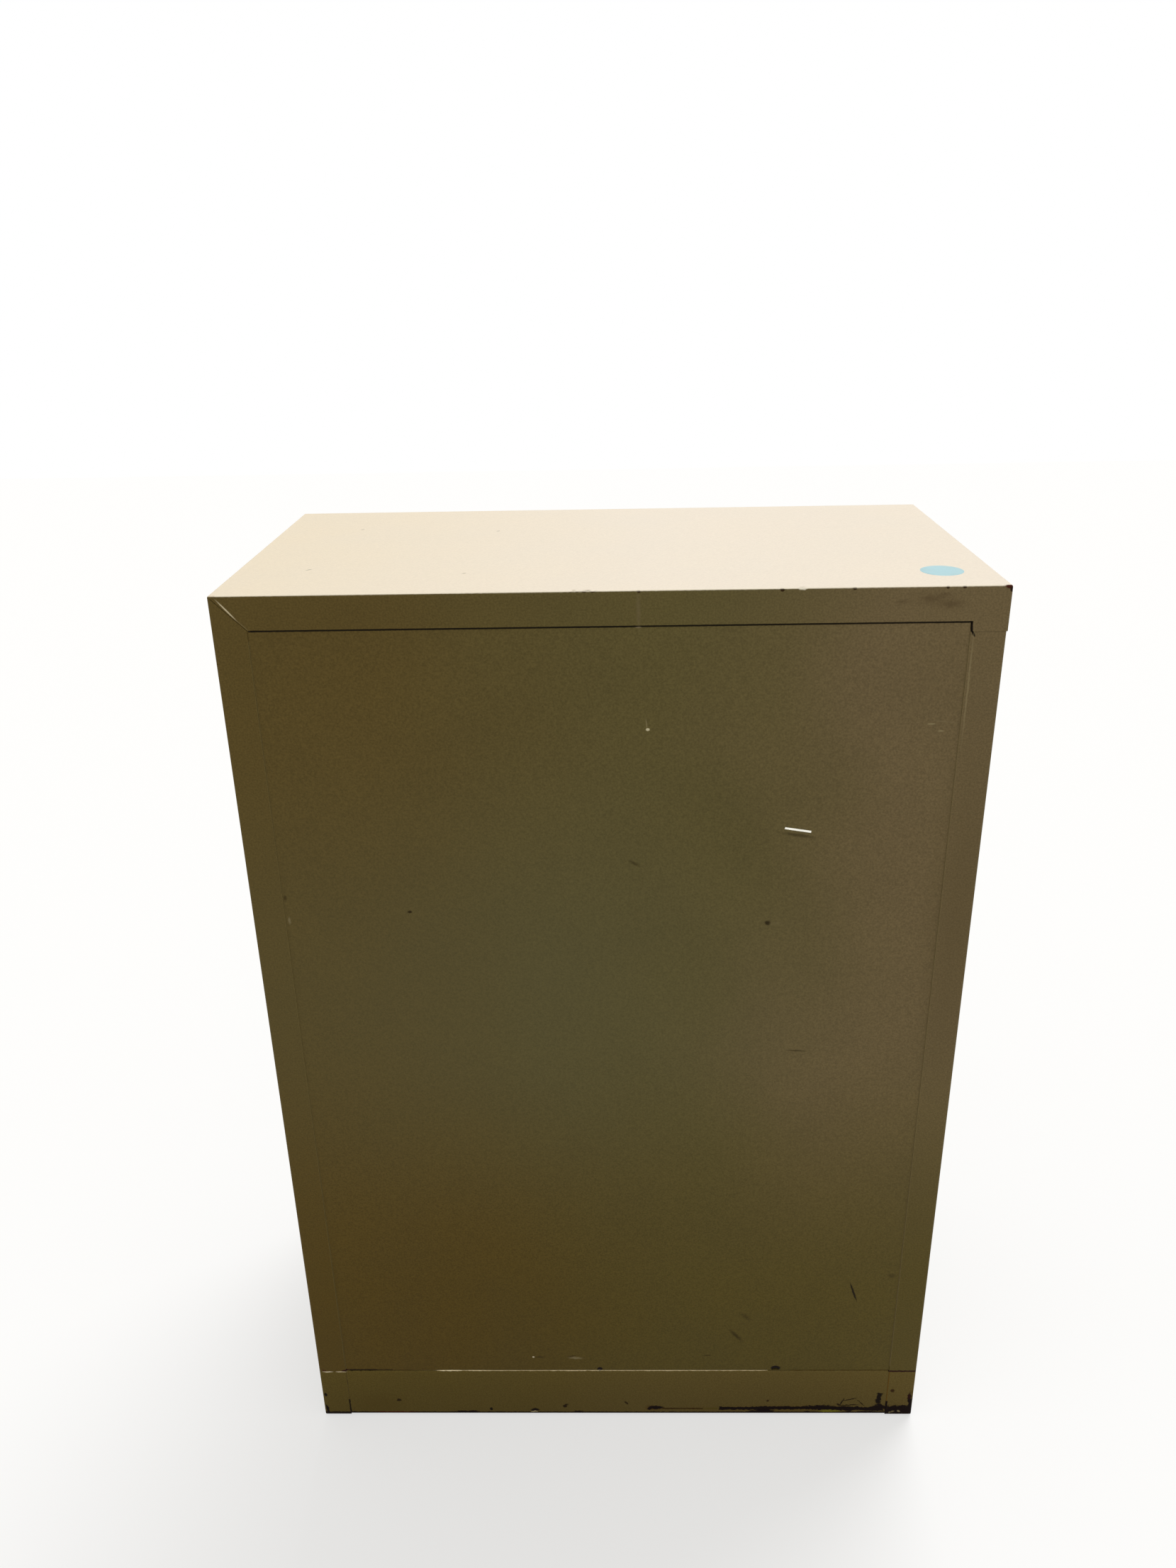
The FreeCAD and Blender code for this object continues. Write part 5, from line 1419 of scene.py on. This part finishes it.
@dataclass
class LockWork:
    """The lock: barrel, plug, crank and the bar that holds the drawers shut."""

    axis_at: tuple[float, float] = (0.4152, 1.29795)
    bezel_radius: float = 0.0115
    bezel_height: float = 0.0016
    barrel_radius: float = 0.0095
    barrel_length: float = 0.025
    bore_radius: float = 0.00606
    thread_from: float = 0.002
    thread_pitch: float = 0.00125
    thread_depth: float = 0.0006

    def dress(self) -> None:
        """Gives the lock's nodes their finishes."""
        dress_nodes(Finishes.CHROME, "lock_plug")
        dress_nodes(Finishes.LOCK_ZINC, "lock_cam", "lock_bar")

    def build_barrel(self) -> Piece:
        """Turns the barrel: a rounded bezel on the front and a thread behind it.

        Returns:
            The barrel, in place of its plain solid.
        """
        face, outer, bore = self.bezel_height, self.bezel_radius, self.bore_radius
        barrel, end, pitch = self.barrel_radius, self.barrel_length, self.thread_pitch
        # Radius and height, from the bore's rounded edge over the bezel's rounded rim
        profile = [
            (bore, face - 0.0006), (bore + 0.0004, face - 0.0002), (bore + 0.0009, face),
            (outer - 0.0021, face), (outer - 0.0011, face - 0.00014),
            (outer - 0.0004, face - 0.0005), (outer - 0.0001, face - 0.0009),
            (outer, face - 0.0013), (outer, 0.0), (barrel, 0.0),
        ]
        root, depth = barrel - self.thread_depth, self.thread_from
        while depth < end - 2 * pitch:
            profile += [(barrel, -depth), (barrel, -depth - 0.2 * pitch)]
            profile.append((root, -depth - 0.6 * pitch))
            depth += pitch
        profile += [(barrel, -depth), (barrel, 0.0008 - end), (root, -end), (bore, -end)]
        shape = turned(profile, 48)
        x, z = self.axis_at
        place = Matrix.Translation((x, FRONT_FACE, z)) @ Matrix.Rotation(QUARTER_TURN, 4, "X")
        bmesh.ops.transform(shape, matrix=place, verts=shape.verts)
        piece = new_object("lock_barrel_with_bezel", shape)
        finish_piece(piece, Finishes.CHROME, "case", "lock_chrome")
        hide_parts("lock_cylinder")
        return piece


# --------------------------------------------------------------------------------- the studio


@dataclass
class Studio:
    """A pale floor, soft light from above and in front, and the camera behind the cabinet."""

    camera_at: Point = (-0.00616, 1.59612, 1.66118)
    right: Point = (-0.999714, -0.015395, -0.018298)
    up: Point = (-0.010672, -0.397520, 0.917531)
    lens: float = 27.915
    sensor_width: float = 36.0
    view_length: float = 60.0
    sun_from: Point = (-0.22, -0.414, 0.883)
    sun_level: float = 1.70
    sun_angle: float = 30.0
    sky_level: float = 0.55
    sky_colour: str = "#FFFCF4"
    floor_half: float = 9.0
    floor_drop: float = 0.0004
    floor_glow: float = 0.62
    floor_pale: tuple[float, float, float, float] = (0.37, 0.37, 0.37, 1.0)
    floor_colour: str = "#B7AE9A"

    def build_camera(self) -> None:
        """Sets the camera where the photograph was taken from."""
        data = bpy.data.cameras.new("photo_camera")
        data.sensor_width = self.sensor_width
        data.lens = self.lens
        data.clip_end = self.view_length
        camera = bpy.data.objects.new("photo_camera", data)
        right, up = Vector(self.right).normalized(), Vector(self.up).normalized()
        back = right.cross(up).normalized()
        up = back.cross(right).normalized()
        turn = Matrix((right, up, back)).transposed().to_4x4()
        camera.matrix_world = Matrix.Translation(self.camera_at) @ turn
        bpy.context.scene.collection.objects.link(camera)
        bpy.context.scene.camera = camera

    def build_light(self) -> None:
        """Adds the soft key from the front and above, and an even sky."""
        sun = bpy.data.lights.new("soft_key", "SUN")
        sun.energy = self.sun_level
        sun.angle = math.radians(self.sun_angle)
        lamp = bpy.data.objects.new("soft_key", sun)
        towards = -Vector(self.sun_from)
        lamp.rotation_euler = towards.to_track_quat("-Z", "Y").to_euler()
        bpy.context.scene.collection.objects.link(lamp)
        world = bpy.data.worlds.new("pale_studio")
        bpy.context.scene.world = world
        add = empty_tree(world)
        seen = self.seen_directly(add)
        sky = add("Background", [linear(self.sky_colour), self.sky_level])
        white = add("Background", {"Color": WHITE, "Strength": 1.0})
        add("OutputWorld", [add("MixShader", [seen, sky, white])])

    @staticmethod
    def seen_directly(add: Adder) -> Node:
        """Tells rays that show the background from rays that only carry its light.

        Args:
            add: Adds a node to the world's or the floor's tree.

        Returns:
            A node that is 1 for camera, glossy and transmission rays.
        """
        path = add("LightPath").outputs
        shown = add("Math", [path["Is Camera Ray"], path["Is Glossy Ray"]], operation="MAXIMUM")
        return add("Math", [shown, path["Is Transmission Ray"]], operation="MAXIMUM")

    def build_floor(self) -> Piece:
        """Lays the floor: pale where it is seen, with the cabinet's soft shadow.

        Returns:
            The floor.
        """
        shape = bmesh.new()
        bmesh.ops.create_grid(shape, x_segments=8, y_segments=8, size=self.floor_half)
        bmesh.ops.translate(shape, vec=(0, 0, -self.floor_drop), verts=shape.verts)
        floor = new_object("studio_floor", shape)
        material = bpy.data.materials.new("matt_studio_floor")
        add = empty_tree(material)
        seen = self.seen_directly(add)
        glow = add("Emission", [WHITE, self.floor_glow])
        shown = add("AddShader", [glow, add("BsdfDiffuse", [self.floor_pale])])
        carried = add("BsdfDiffuse", [linear(self.floor_colour)])
        add("OutputMaterial", [add("MixShader", [seen, carried, shown])])
        floor.data.materials.append(material)
        floor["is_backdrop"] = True
        return floor


def write_sizes() -> None:
    """Logs the solids' box and the dressed model's box as plain lists."""
    boxes = {"cad": CAD_BOX, "visual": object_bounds()}
    plain = {
        name: [[round(v, 6) for v in corner] for corner in box] for name, box in boxes.items()
    }
    LOG.info("sizes %s", plain)


def main() -> None:
    """Builds the studio, then the cabinet from its shell inwards."""
    logging.basicConfig(level=logging.INFO, format="%(message)s")
    bpy.context.scene.view_settings.view_transform = "Standard"
    studio = Studio()
    studio.build_camera()
    studio.build_light()
    studio.build_floor()
    rows = RowTree()
    shell = Shell()
    shell.dress()
    shell.build_sticker()
    base = BaseFrame()
    base.dress()
    base.build_nuts(rows)
    for number in DRAWER_FLOORS:
        drawer = Drawer(number)
        drawer.dress()
        drawer.build_fasteners(rows)
        drawer.build_end_caps()
        drawer.build_card()
    lock = LockWork()
    lock.dress()
    lock.build_barrel()
    write_sizes()


if __name__ == "__main__":
    main()
